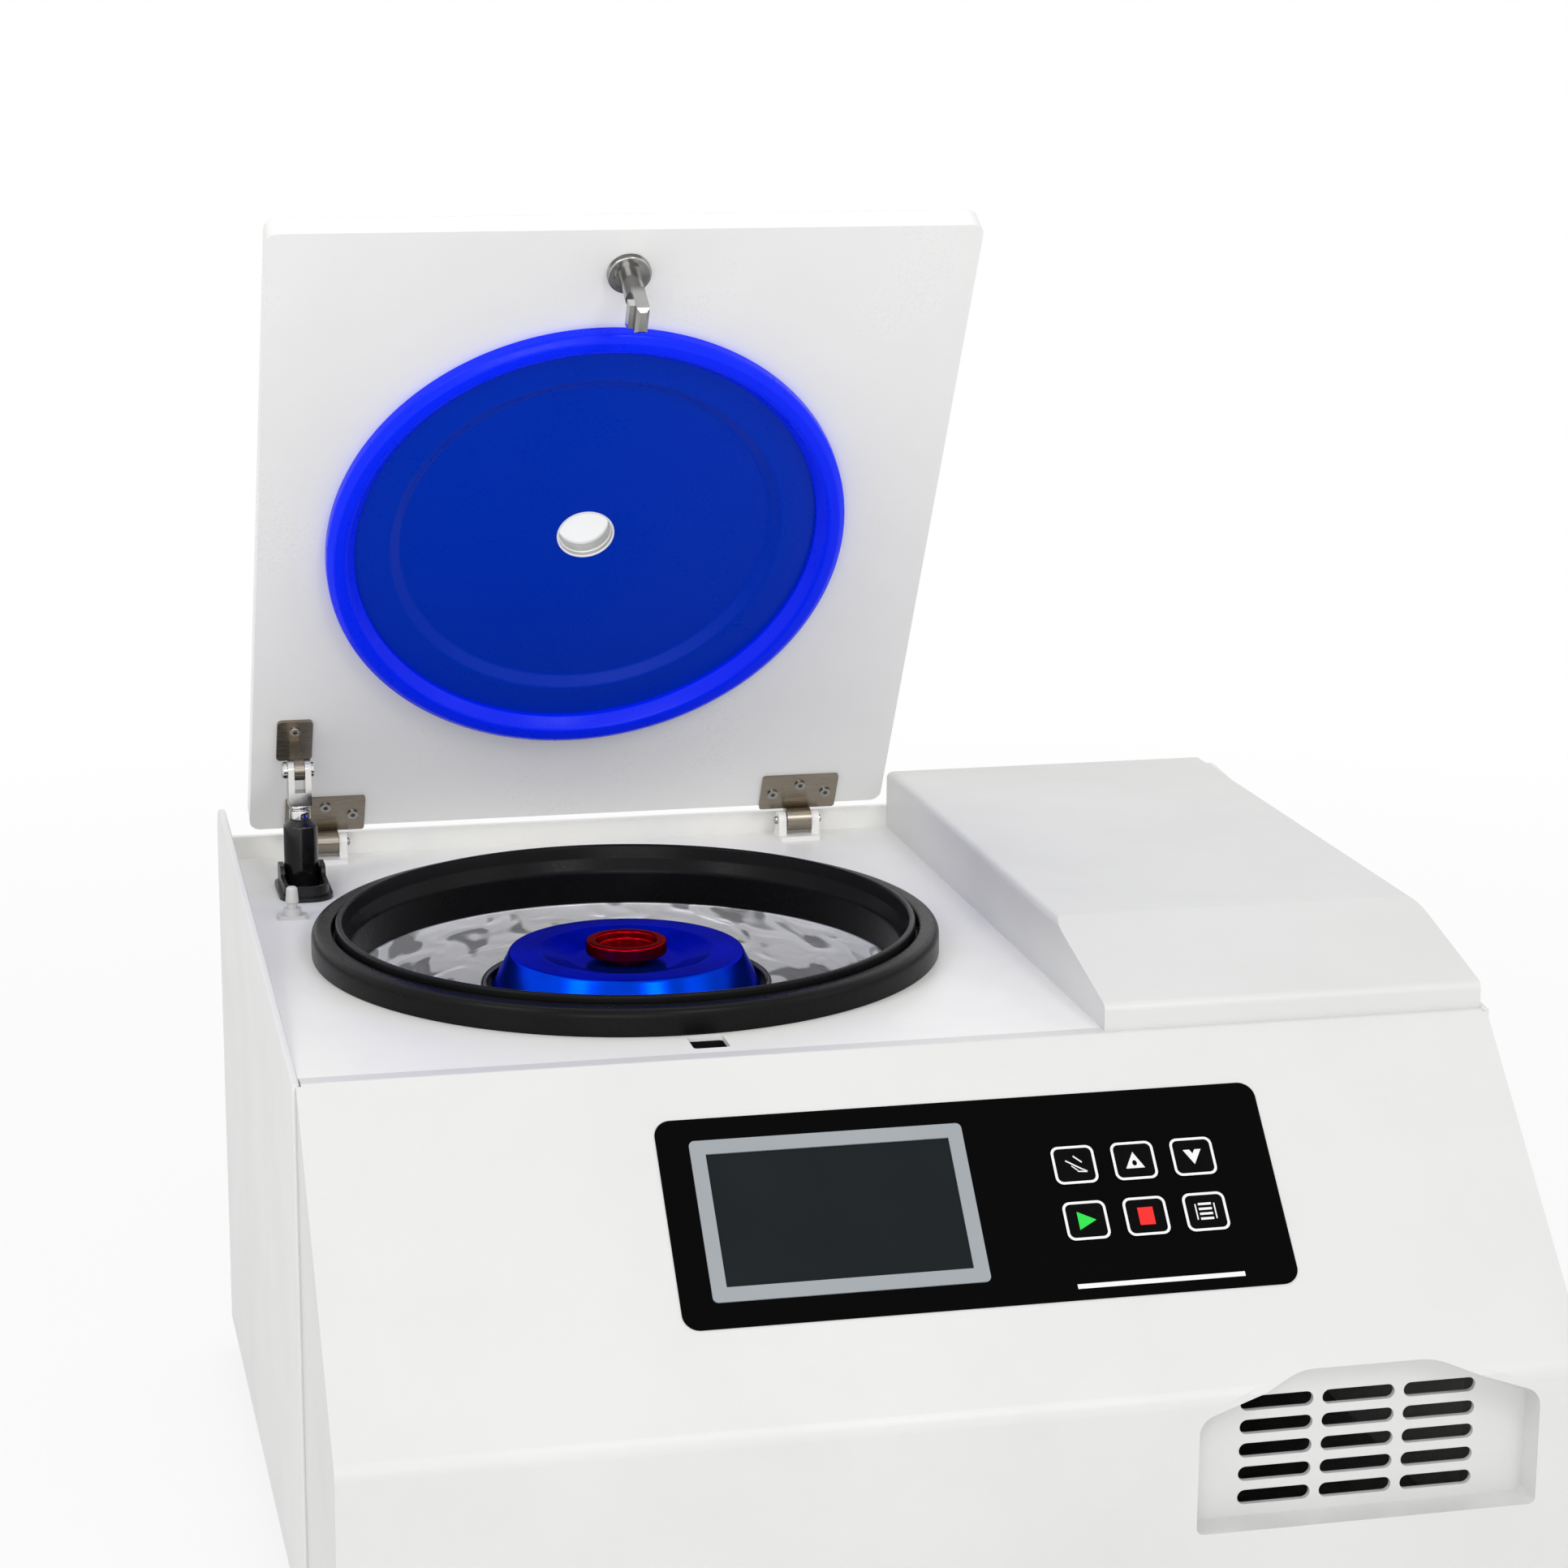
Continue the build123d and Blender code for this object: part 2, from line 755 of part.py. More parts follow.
coil_top = flange_bottom - coil_pitch
coil_span = bowl_depth - bowl_corner + coil_top
coil_turns = int(coil_span / coil_pitch)
coil_middle = coil_top - coil_turns * coil_pitch / 2
with BuildPart() as evaporator_jacket:
    with BuildSketch(chamber_plane):
        with Locations((bowl_outside + coil_sheet / 2, coil_middle)):
            Rectangle(coil_sheet, (coil_turns + 1) * coil_pitch)
        with Locations((bowl_outside + coil_sheet, coil_middle)):
            with GridLocations(1, coil_pitch, 1, coil_turns):
                Circle(coil_radius)
        with Locations((bowl_outside - coil_radius, coil_middle)):
            Rectangle(2 * coil_radius, (coil_turns + 2) * coil_pitch, mode=Mode.SUBTRACT)
    revolve(axis=chamber_axis)
keep(evaporator_jacket, "evaporator_jacket")

foam_outer = gasket_outer - 4
foam_floor_top = -bowl_depth - bowl_wall
foam_bottom = motor_top
foam_points = [
    (foam_outer, -deck_thickness), (foam_outer, foam_bottom), (motor_neck + 4, foam_bottom),
    (motor_neck + 4, foam_floor_top), (gasket_groove, foam_floor_top),
    (gasket_groove, -deck_thickness),
]
insulation_sleeve = turned(chamber_plane, chamber_axis, foam_points)
keep(insulation_sleeve, "insulation_sleeve")

# Drive motor on rubber mounts under the bowl, its neck passing the bowl's hole
motor_bottom = tray_top_z + damper_height - deck_height
spindle_foot = motor_bottom + spindle_bearing_depth
bearing = spindle_radius + running_clearance
motor_points = [
    (bearing, -bowl_depth + 2), (motor_neck, -bowl_depth + 2), (motor_neck, motor_top),
    (motor_radius, motor_top), (motor_radius, motor_bottom), (0, motor_bottom),
    (0, spindle_foot - free_clearance), (motor_radius - motor_wall, spindle_foot - free_clearance),
    (motor_radius - motor_wall, motor_top - motor_wall), (bearing, motor_top - motor_wall),
]
motor_housing = turned(chamber_plane, chamber_axis, motor_points)
keep(motor_housing, "motor_housing")

with BuildPart() as motor_dampers:
    with BuildSketch(Plane.XY.offset(tray_top_z)):
        with Locations((chamber_x, chamber_y)):
            with PolarLocations(damper_circle_radius, 3, 90):
                Circle(damper_radius)
    extrude(amount=damper_height)
    chamfer(motor_dampers.edges().group_by(Axis.Z)[0], 1.5)
keep(motor_dampers, "motor_dampers")

armature_top = motor_top - motor_wall - armature_gap
spindle_points = [
    (0, spindle_foot), (spindle_radius, spindle_foot), (spindle_radius, spindle_foot + armature_gap),
    (armature_radius, spindle_foot + armature_gap), (armature_radius, armature_top),
    (spindle_radius, armature_top), (spindle_radius, spindle_top), (0, spindle_top),
]
drive_spindle = turned(chamber_plane, chamber_axis, spindle_points)
keep(drive_spindle, "drive_spindle")

# Rotor: a cup with six tilted tube bores and a stud that carries the knob
rotor_points = [
    (0, spindle_top), (spindle_radius, spindle_top), (spindle_radius, rotor_bottom),
    (rotor_waist_radius, rotor_bottom), (rotor_rim_radius, rotor_bottom + rotor_flare),
    (rotor_rim_radius, rotor_rim_top), (rotor_rim_inner, rotor_rim_top), (rotor_rim_inner, rotor_ledge),
    (rotor_cone_radius, rotor_ledge), (post_radius + 4, rotor_cone_foot), (post_radius, rotor_cone_foot),
    (post_radius, post_top), (stud_radius, post_top), (stud_radius, stud_top), (0, stud_top),
]
bore_tilt = radians(tube_tilt)
bore_top = rotor_ledge + 4
with BuildPart() as rotor_body:
    with BuildSketch(chamber_plane) as section:
        with BuildLine():
            Polyline(*rotor_points, close=True)
        make_face()
        fillet(corner_at(section, rotor_rim_radius, rotor_rim_top), 2.0)
        fillet(corner_at(section, rotor_rim_inner, rotor_rim_top), 2.0)
        fillet(corner_at(section, rotor_waist_radius, rotor_bottom), 5.0)
        fillet(corner_at(section, rotor_rim_radius, rotor_bottom + rotor_flare), 6.0)
    revolve(axis=chamber_axis)
    for turn in range(tube_count):
        around = radians(turn * 360 / tube_count)
        reach = tube_circle - 15 * tan(bore_tilt)
        start = (chamber_x + reach * cos(around), chamber_y + reach * sin(around), deck_height + bore_top)
        along = (sin(bore_tilt) * cos(around), sin(bore_tilt) * sin(around), -cos(bore_tilt))
        with BuildSketch(Plane(origin=start, z_dir=along)):
            Circle(tube_radius)
        extrude(amount=tube_length + 15, mode=Mode.SUBTRACT)
keep(rotor_body, "rotor_body")

# Rotor lid: a flared cap with a dished top and a hole for the knob's stem
lid_under = dish_floor - rotor_lid_wall
stem_hole = knob_stem_radius + running_clearance
cap_points = [
    (stem_hole, dish_floor), (dish_floor_radius, dish_floor), (dish_radius, rotor_lid_top),
    (rotor_lid_radius, rotor_lid_top), (rotor_skirt_radius, rotor_ledge + 3),
    (rotor_skirt_radius, rotor_ledge), (rotor_skirt_radius - rotor_lid_wall, rotor_ledge),
    (rotor_lid_radius - rotor_lid_wall, rotor_lid_top - rotor_lid_wall),
    (dish_radius + rotor_lid_wall / 2, rotor_lid_top - rotor_lid_wall),
    (dish_floor_radius + rotor_lid_wall / 2, lid_under), (stem_hole, lid_under),
]
with BuildPart() as rotor_lid:
    with BuildSketch(chamber_plane) as section:
        with BuildLine():
            Polyline(*cap_points, close=True)
        make_face()
        fillet(corner_at(section, rotor_lid_radius, rotor_lid_top), 2.0)
        fillet(corner_at(section, dish_radius, rotor_lid_top), 1.5)
        fillet(corner_at(section, dish_floor_radius, dish_floor), 4.0)
        fillet(corner_at(section, dish_floor_radius + rotor_lid_wall / 2, lid_under), 4.0)
    revolve(axis=chamber_axis)
keep(rotor_lid, "rotor_lid")

knob_under = knob_top - knob_height
collar_top = lid_under - free_clearance
collar_bottom = collar_top - collar_height
knob_points = [
    (stud_radius + running_clearance, collar_bottom), (collar_radius, collar_bottom),
    (collar_radius, collar_top), (knob_stem_radius, collar_top), (knob_stem_radius, knob_under),
    (knob_radius, knob_under), (knob_radius, knob_top), (knob_bore, knob_top),
    (knob_bore, knob_under + 2.5), (0, knob_under + 2.5), (0, stud_top + free_clearance),
    (stud_radius + running_clearance, stud_top + free_clearance),
]
with BuildPart() as rotor_knob:
    with BuildSketch(chamber_plane) as section:
        with BuildLine():
            Polyline(*knob_points, close=True)
        make_face()
        fillet(corner_at(section, knob_radius, knob_top), 2.0)
        fillet(corner_at(section, knob_bore, knob_top), 2.0)
        fillet(corner_at(section, knob_radius, knob_under), 1.5)
        fillet(corner_at(section, knob_bore, knob_under + 2.5), 2.0)
    revolve(axis=chamber_axis)
keep(rotor_knob, "rotor_knob")

# Lid: an outer pan, an inner panel and foam between them
lid_middle = (lid_width / 2, lid_length / 2)
lid_back = lid_face.offset(-lid_thickness)
skin_inside = lid_face.offset(lid_skin - lid_thickness)
port_centre = (seal_across, seal_along)
tube_outer = port_radius + port_wall
with BuildPart() as lid_shell:
    with BuildSketch(lid_back):
        with Locations(lid_middle):
            RectangleRounded(lid_width, lid_length, lid_corner)
    extrude(amount=lid_thickness)
    fillet(lid_shell.edges().group_by(Axis(lid_origin, lid_normal))[0], lid_edge)
    with BuildSketch(skin_inside):
        with Locations(lid_middle):
            RectangleRounded(lid_width - 2 * lid_wall, lid_length - 2 * lid_wall, lid_corner - lid_wall)
    extrude(amount=lid_thickness, mode=Mode.SUBTRACT)
    with BuildSketch(lid_back):
        with Locations(port_centre):
            Circle(port_step_radius)
    extrude(amount=lid_thickness, mode=Mode.SUBTRACT)
keep(lid_shell, "lid_shell")

leaf_middles = [left + leaf_width / 2 for left in leaf_from_edges]
leaf_screws = [
    (middle + side * leaf_screw_pitch, leaf_screw_high if side == 0 else leaf_screw_low)
    for middle in leaf_middles
    for side in (-1, 0, 1)
]
bracket_middle = (spring_across, spring_along)
bracket_screw = (spring_across, spring_along + bracket_length / 2 - 8)
screw_places = leaf_screws + [bracket_screw]
panel_back = lid_face.offset(-lid_skin)
with BuildPart() as lid_inner_panel:
    with BuildSketch(panel_back):
        with Locations(lid_middle):
            RectangleRounded(lid_width - 2 * lid_wall, lid_length - 2 * lid_wall, lid_corner - lid_wall)
        with Locations(port_centre):
            Circle(liner_outer, mode=Mode.SUBTRACT)
        with Locations(*screw_places):
            Circle(screw_shank_radius, mode=Mode.SUBTRACT)
    extrude(amount=lid_skin)
keep(lid_inner_panel, "lid_inner_panel")

with BuildPart() as lid_foam:
    with BuildSketch(skin_inside):
        with Locations(lid_middle):
            RectangleRounded(lid_width - 2 * lid_wall, lid_length - 2 * lid_wall, lid_corner - lid_wall)
        with Locations(port_centre):
            Circle(tube_outer, mode=Mode.SUBTRACT)
    extrude(amount=lid_thickness - 2 * lid_skin)
    with BuildSketch(seal_plane):
        with BuildLine():
            Polyline((0, -lid_skin), (liner_step_outer, -lid_skin),
                     (liner_step_inner, -lid_skin - liner_step), (0, -lid_skin - liner_step), close=True)
        make_face()
    revolve(axis=seal_axis, mode=Mode.SUBTRACT)
keep(lid_foam, "lid_foam")

liner_points = [
    (liner_outer, 0), (liner_step_outer, 0), (liner_step_inner, -liner_step), (tube_outer, -liner_step),
    (tube_outer, -liner_step - lid_skin), (liner_step_inner, -liner_step - lid_skin),
    (liner_step_outer, -lid_skin), (liner_outer, -lid_skin),
]
liner_disc = turned(seal_plane, seal_axis, liner_points)
keep(liner_disc, "liner_disc")

seal_points = [
    (seal_outer, 0), (seal_outer, seal_height * 0.7), (seal_outer - 4, seal_height),
    (seal_outer - 11, seal_height), (seal_inner, seal_height * 0.3), (seal_inner, 0),
]
with BuildPart() as lid_seal:
    with BuildSketch(seal_plane) as section:
        with BuildLine():
            Polyline(*seal_points, close=True)
        make_face()
        fillet(corner_at(section, seal_outer - 4, seal_height), 3.0)
        fillet(corner_at(section, seal_outer - 11, seal_height), 4.0)
    revolve(axis=seal_axis)
keep(lid_seal, "lid_seal")

tube_bottom = lid_skin - lid_thickness
tube_points = [
    (tube_outer, -liner_step), (port_radius, -liner_step), (port_radius, tube_bottom + window_thickness),
    (port_step_radius, tube_bottom + window_thickness), (port_step_radius, tube_bottom),
    (tube_outer, tube_bottom),
]
sight_tube = turned(seal_plane, seal_axis, tube_points)
keep(sight_tube, "sight_tube")

with BuildPart() as sight_window:
    with BuildSketch(lid_face.offset(tube_bottom + window_thickness)):
        with Locations(port_centre):
            Circle(port_radius)
    extrude(amount=window_thickness)
keep(sight_window, "sight_window")

# Striker: a round flange and a hooked blade that drops into the deck's slot
collar_step = striker_flange_height + 2
with BuildPart() as striker_flange:
    with BuildSketch(striker_plane):
        Circle(striker_flange_radius)
        Circle(striker_shaft_radius, mode=Mode.SUBTRACT)
    extrude(amount=striker_flange_height)
    with BuildSketch(striker_plane.offset(striker_flange_height)):
        Circle(striker_flange_radius - 4)
        Circle(striker_shaft_radius, mode=Mode.SUBTRACT)
    extrude(amount=collar_step - striker_flange_height)
    rims = striker_flange.edges().filter_by(GeomType.CIRCLE)
    outer_rims = rims.filter_by(lambda e: abs(e.radius - striker_flange_radius) < 0.01)
    fillet(outer_rims.sort_by(Axis(striker_centre, lid_normal))[-1], 1.0)
keep(striker_flange, "striker_flange")

nose_top = striker_length - nose_from_tip
with BuildPart() as striker_hook:
    with BuildSketch(striker_plane):
        Circle(striker_shaft_radius)
    extrude(amount=striker_length - blade_length)
    with BuildSketch(striker_plane.offset(striker_length - blade_length)):
        Rectangle(blade_thickness, blade_width)
    extrude(amount=blade_length)
    chamfer(striker_hook.edges().group_by(Axis(striker_centre, lid_normal))[-1], 2.0)
    with BuildSketch(striker_plane.offset(nose_top - nose_height)):
        with Locations((-blade_thickness / 2 - nose_reach / 2 + 0.5, 0)):
            Rectangle(nose_reach + 1, blade_width)
    extrude(amount=nose_height, taper=8)
keep(striker_hook, "striker_hook")

# Hinges: a leaf with a barrel on the lid, a bracket with two ears on the deck, and a pin
barrel_radius = hinge_drop - leaf_thickness + barrel_overlap
leaf_middle_v = leaf_height / 2 - leaf_overhang
ear_inside = barrel_length / 2 + ear_gap
ear_radius = hinge_drop - leaf_thickness - 2 * free_clearance


def across_lid(u):
    """A plane across the lid at u, with X along the lid to its tip and Y out of its underside."""
    return Plane(origin=lid_face.from_local_coords(Vector(u, 0, 0)), x_dir=lid_face.y_dir, z_dir=(1, 0, 0))


def hinge_leaf_at(middle, name):
    """A hinge leaf screwed to the lid, with its barrel hanging past the lid's rear edge."""
    with BuildPart() as leaf:
        with BuildSketch(lid_face):
            with Locations((middle, leaf_middle_v)):
                RectangleRounded(leaf_width, leaf_height, 2.0)
            with Locations((middle, -hinge_reach / 2)):
                Rectangle(barrel_length, hinge_reach)
            with Locations(*[p for p in leaf_screws if abs(p[0] - middle) < leaf_width / 2]):
                Circle(screw_shank_radius, mode=Mode.SUBTRACT)
        extrude(amount=leaf_thickness)
        with BuildSketch(across_lid(middle - barrel_length / 2)):
            with Locations((-hinge_reach, hinge_drop)):
                Circle(barrel_radius)
        extrude(amount=barrel_length)
        with BuildSketch(across_lid(middle - barrel_length / 2)):
            with Locations((-hinge_reach, hinge_drop)):
                Circle(pin_radius + running_clearance)
        extrude(amount=barrel_length, mode=Mode.SUBTRACT)
    keep(leaf, name)


def hinge_bracket_at(middle, name):
    """A hinge bracket on the deck: a foot and two round-topped ears that hold the pin."""
    x = lid_left_x + middle
    with BuildPart() as bracket:
        with BuildSketch(Plane.XY.offset(deck_height)):
            with Locations((x, hinge_y)):
                RectangleRounded(2 * (ear_inside + ear_thickness), 4 * ear_radius, 2.0)
        extrude(amount=bracket_foot)
        for ear_x in (x - ear_inside - ear_thickness, x + ear_inside):
            with BuildSketch(facing_right(ear_x)):
                with Locations((hinge_y, hinge_z)):
                    Circle(ear_radius)
                with Locations((hinge_y, (deck_height + hinge_z) / 2)):
                    Rectangle(2 * ear_radius, hinge_height)
                with Locations((hinge_y, hinge_z)):
                    Circle(pin_radius, mode=Mode.SUBTRACT)
            extrude(amount=ear_thickness)
    keep(bracket, name)


hinge_leaf_at(leaf_middles[0], "hinge_leaf_left")
hinge_leaf_at(leaf_middles[1], "hinge_leaf_right")
hinge_bracket_at(leaf_middles[0], "hinge_bracket_left")
hinge_bracket_at(leaf_middles[1], "hinge_bracket_right")

pin_length = 2 * (ear_inside + ear_thickness + pin_overhang)
with BuildPart() as hinge_pins:
    for middle in leaf_middles:
        with BuildSketch(facing_right(lid_left_x + middle - pin_length / 2)):
            with Locations((hinge_y, hinge_z)):
                Circle(pin_radius)
        extrude(amount=pin_length)
    chamfer(hinge_pins.edges().filter_by(GeomType.CIRCLE), 0.5)
keep(hinge_pins, "hinge_pins")

with BuildPart() as lid_screws:
    for base, places in ((leaf_thickness, leaf_screws), (bracket_sheet, [bracket_screw])):
        with BuildSketch(lid_face.offset(base)):
            with Locations(*places):
                Circle(screw_head_radius)
        extrude(amount=screw_head_height)
        with BuildSketch(panel_back):
            with Locations(*places):
                Circle(screw_shank_radius)
        extrude(amount=lid_skin + base)
    heads = lid_screws.edges().filter_by(lambda e: e.geom_type == GeomType.CIRCLE and e.radius > 3)
    fillet(heads.group_by(Axis(lid_origin, lid_normal))[-1], 0.4)
keep(lid_screws, "lid_screws")

# Gas spring: bracket, bolt, clevis, cylinder, rod, lower anchor and the boot it passes through
tongue_radius = clevis_depth / 2
tongue_half = bracket_tongue / 2
with BuildPart() as spring_bracket:
    with BuildSketch(lid_face):
        with Locations(bracket_middle):
            RectangleRounded(bracket_width, bracket_length, 3.0)
        with Locations(bracket_screw):
            Circle(screw_shank_radius, mode=Mode.SUBTRACT)
    extrude(amount=bracket_sheet)
    with BuildSketch(across_lid(spring_across - tongue_half)):
        with Locations((spring_along, spring_standoff)):
            Circle(tongue_radius)
        with BuildLine():
            Polyline((spring_along - bracket_length / 2 + 2, bracket_sheet), (spring_along, bracket_sheet),
                     (spring_along + tongue_radius, spring_standoff),
                     (spring_along - tongue_radius, spring_standoff), close=True)
        make_face()
        with Locations((spring_along, spring_standoff)):
            Circle(bolt_radius, mode=Mode.SUBTRACT)
    extrude(amount=bracket_tongue)
keep(spring_bracket, "spring_bracket")

fork_half = clevis_width / 2
bolt_end = spring_top - Vector(fork_half + free_clearance, 0, 0)
bolt_side = Plane(origin=bolt_end, x_dir=(0, 1, 0), z_dir=(1, 0, 0))
with BuildPart() as spring_bolt:
    with BuildSketch(bolt_side):
        Circle(bolt_radius)
    extrude(amount=clevis_width + 2 * free_clearance)
    with BuildSketch(bolt_side.offset(-bolt_head_height)):
        Circle(bolt_head_radius)
    extrude(amount=bolt_head_height)
    with BuildSketch(bolt_side.offset(clevis_width + 2 * free_clearance)):
        Circle(bolt_head_radius - 0.7)
    extrude(amount=bolt_head_height / 2)
    chamfer(spring_bolt.edges().group_by(Axis.X)[0], 0.8)
keep(spring_bolt, "spring_bolt")

spring_up = spring_vector.normalized()
spring_axis = Axis(spring_top, spring_up)
spring_side = Plane(origin=spring_top, x_dir=(1, 0, 0), z_dir=Vector(1, 0, 0).cross(spring_up))
clevis_top = clevis_depth / 2
clevis_bottom = clevis_top - clevis_length
cylinder_top = clevis_bottom - stud_neck_length
cylinder_bottom = cylinder_top - cylinder_length
throat_half = tongue_half + free_clearance
with BuildPart() as spring_clevis:
    with BuildSketch(spring_side.offset(-clevis_depth / 2)):
        with Locations((0, (clevis_top + clevis_bottom) / 2)):
            Rectangle(clevis_width, clevis_length)
        with Locations((0, clevis_top - clevis_throat / 2)):
            Rectangle(2 * throat_half, clevis_throat, mode=Mode.SUBTRACT)
    extrude(amount=clevis_depth)
    fillet(spring_clevis.edges().filter_by(Axis.X).group_by(spring_axis)[-1], clevis_depth * 0.45)
    with BuildSketch(bolt_side):
        Circle(bolt_radius + running_clearance)
    extrude(amount=clevis_width + 2, mode=Mode.SUBTRACT)
    with BuildSketch(spring_side):
        with BuildLine():
            Polyline((0, clevis_bottom), (stud_neck_radius, clevis_bottom),
                     (stud_neck_radius, cylinder_top), (0, cylinder_top), close=True)
        make_face()
    revolve(axis=spring_axis)
keep(spring_clevis, "spring_clevis")

tube_inside = cylinder_radius - cylinder_wall
guide = rod_radius + running_clearance
cylinder_points = [
    (0, cylinder_top), (stud_neck_radius + 1, cylinder_top),
    (cylinder_radius, cylinder_top - shoulder_height),
    (cylinder_radius, cylinder_bottom), (guide, cylinder_bottom), (guide, cylinder_bottom + 10),
    (tube_inside, cylinder_bottom + 10), (tube_inside, cylinder_top - shoulder_height),
    (0, cylinder_top - shoulder_height),
]
with BuildPart() as spring_cylinder:
    with BuildSketch(spring_side) as section:
        with BuildLine():
            Polyline(*cylinder_points, close=True)
        make_face()
        fillet(corner_at(section, cylinder_radius, cylinder_bottom), 1.5)
    revolve(axis=spring_axis)
keep(spring_cylinder, "spring_cylinder")

rod_top = cylinder_bottom + rod_overlap
piston_radius = tube_inside - free_clearance
eye_top = pin_drop_room + anchor_pin_radius + eye_wall
rod_points = [
    (0, eye_top - spring_length), (rod_radius, eye_top - spring_length), (rod_radius, rod_top),
    (piston_radius, rod_top), (piston_radius, rod_top + 8), (0, rod_top + 8),
]
foot_plane = Plane(origin=spring_foot, x_dir=spring_side.z_dir * -1, z_dir=(1, 0, 0))
eye_slot_width = path_error_across + 2 * (anchor_pin_radius + free_clearance)
eye_slot_height = path_error_along + 2 * (anchor_pin_radius + free_clearance)
eye_middle = (path_error_across / 2, -path_error_along / 2)
with BuildPart() as spring_rod:
    with BuildSketch(spring_side):
        with BuildLine():
            Polyline(*rod_points, close=True)
        make_face()
    revolve(axis=spring_axis)
    with BuildSketch(foot_plane.offset(-eye_thickness / 2)):
        with Locations(eye_middle):
            RectangleRounded(eye_slot_width + 2 * eye_wall, eye_slot_height + 2 * eye_wall, eye_wall)
        with Locations((0, eye_top / 2)):
            Rectangle(2 * rod_radius, eye_top)
        with Locations(eye_middle):
            RectangleRounded(eye_slot_width, eye_slot_height, anchor_pin_radius, mode=Mode.SUBTRACT)
    extrude(amount=eye_thickness)
keep(spring_rod, "spring_rod")

cheek_inside = eye_thickness / 2 + 2 * free_clearance
anchor_width = 2 * (cheek_inside + anchor_sheet)
with BuildPart() as spring_anchor:
    with BuildSketch(Plane.XY.offset(tray_top_z)):
        with Locations((spring_x, spring_foot.Y)):
            RectangleRounded(anchor_width + 16, anchor_depth, 2.0)
    extrude(amount=anchor_sheet)
    for side_x in (spring_x - cheek_inside - anchor_sheet, spring_x + cheek_inside):
        with BuildSketch(facing_right(side_x)):
            with Locations((spring_foot.Y, spring_foot.Z)):
                Circle(anchor_cheek_radius)
            with Locations((spring_foot.Y, (tray_top_z + spring_foot.Z) / 2)):
                Rectangle(2 * anchor_cheek_radius, spring_foot.Z - tray_top_z)
        extrude(amount=anchor_sheet)
    with BuildSketch(facing_right(spring_x - anchor_width / 2)):
        with Locations((spring_foot.Y, spring_foot.Z)):
            Circle(anchor_pin_radius)
    extrude(amount=anchor_width)
keep(spring_anchor, "spring_anchor")

with BuildPart() as spring_boot:
    with BuildSketch(Plane.XY.offset(deck_height)):
        with Locations((spring_x, boot_y)):
            RectangleRounded(boot_inside + 2 * (boot_wall + boot_flange), boot_inner_length
                             + 2 * (boot_wall + boot_flange), boot_corner + boot_wall + boot_flange)
    extrude(amount=boot_flange)
    with BuildSketch(Plane.XY.offset(deck_height)):
        with Locations((spring_x, boot_y)):
            RectangleRounded(boot_inside + 2 * boot_wall, boot_inner_length + 2 * boot_wall,
                             boot_corner + boot_wall)
    extrude(amount=boot_height)
    with BuildSketch(facing_right(spring_x - boot_inside / 2 - boot_wall)):
        with Locations((spring_deck_y, deck_height + boot_tab_height / 2)):
            Rectangle(boot_tab_width, boot_tab_height)
    extrude(amount=boot_inside + 2 * boot_wall)
    fillet(spring_boot.edges().filter_by(Axis.X).group_by(Axis.Z)[-1], 5.0)
    with BuildSketch(Plane.XY.offset(deck_height)):
        with Locations((spring_x, boot_y)):
            RectangleRounded(boot_inside, boot_inner_length, boot_corner)
    extrude(amount=2 * boot_tab_height, mode=Mode.SUBTRACT)
keep(spring_boot, "spring_boot")

# Lid sensor: a guide on the deck and a sprung pin the closed lid would press
sensor_pin_drop = sensor_pin_seat + sensor_travel
guide_bore = sensor_pin_radius + running_clearance
with BuildPart() as sensor_guide:
    with BuildSketch(Plane.XY.offset(deck_height)):
        with Locations((sensor_x, sensor_y)):
            RectangleRounded(sensor_base_length, sensor_base_width, 3.0)
    extrude(amount=sensor_base_height)
    with BuildSketch(Plane.XY.offset(deck_height + sensor_base_height)):
        with Locations((sensor_x, sensor_y)):
            Circle(sensor_collar_radius)
    extrude(amount=sensor_collar_height)
    with BuildSketch(Plane.XY.offset(deck_height)):
        with Locations((sensor_x, sensor_y)):
            Circle(guide_bore)
    extrude(amount=2 * sensor_collar_height + sensor_base_height, mode=Mode.SUBTRACT)
keep(sensor_guide, "sensor_guide")

with BuildPart() as sensor_pin:
    with BuildSketch(Plane.XY.offset(deck_height - sensor_pin_drop)):
        with Locations((sensor_x, sensor_y)):
            Circle(sensor_pin_radius)
    extrude(amount=sensor_pin_drop + sensor_pin_top)
    fillet(sensor_pin.edges().group_by(Axis.Z)[-1], sensor_pin_radius * 0.8)
    with BuildSketch(Plane.XY.offset(deck_height - sensor_pin_drop)):
        with Locations((sensor_x, sensor_y)):
            Circle(sensor_pin_radius + 2)
    extrude(amount=2)
keep(sensor_pin, "sensor_pin")

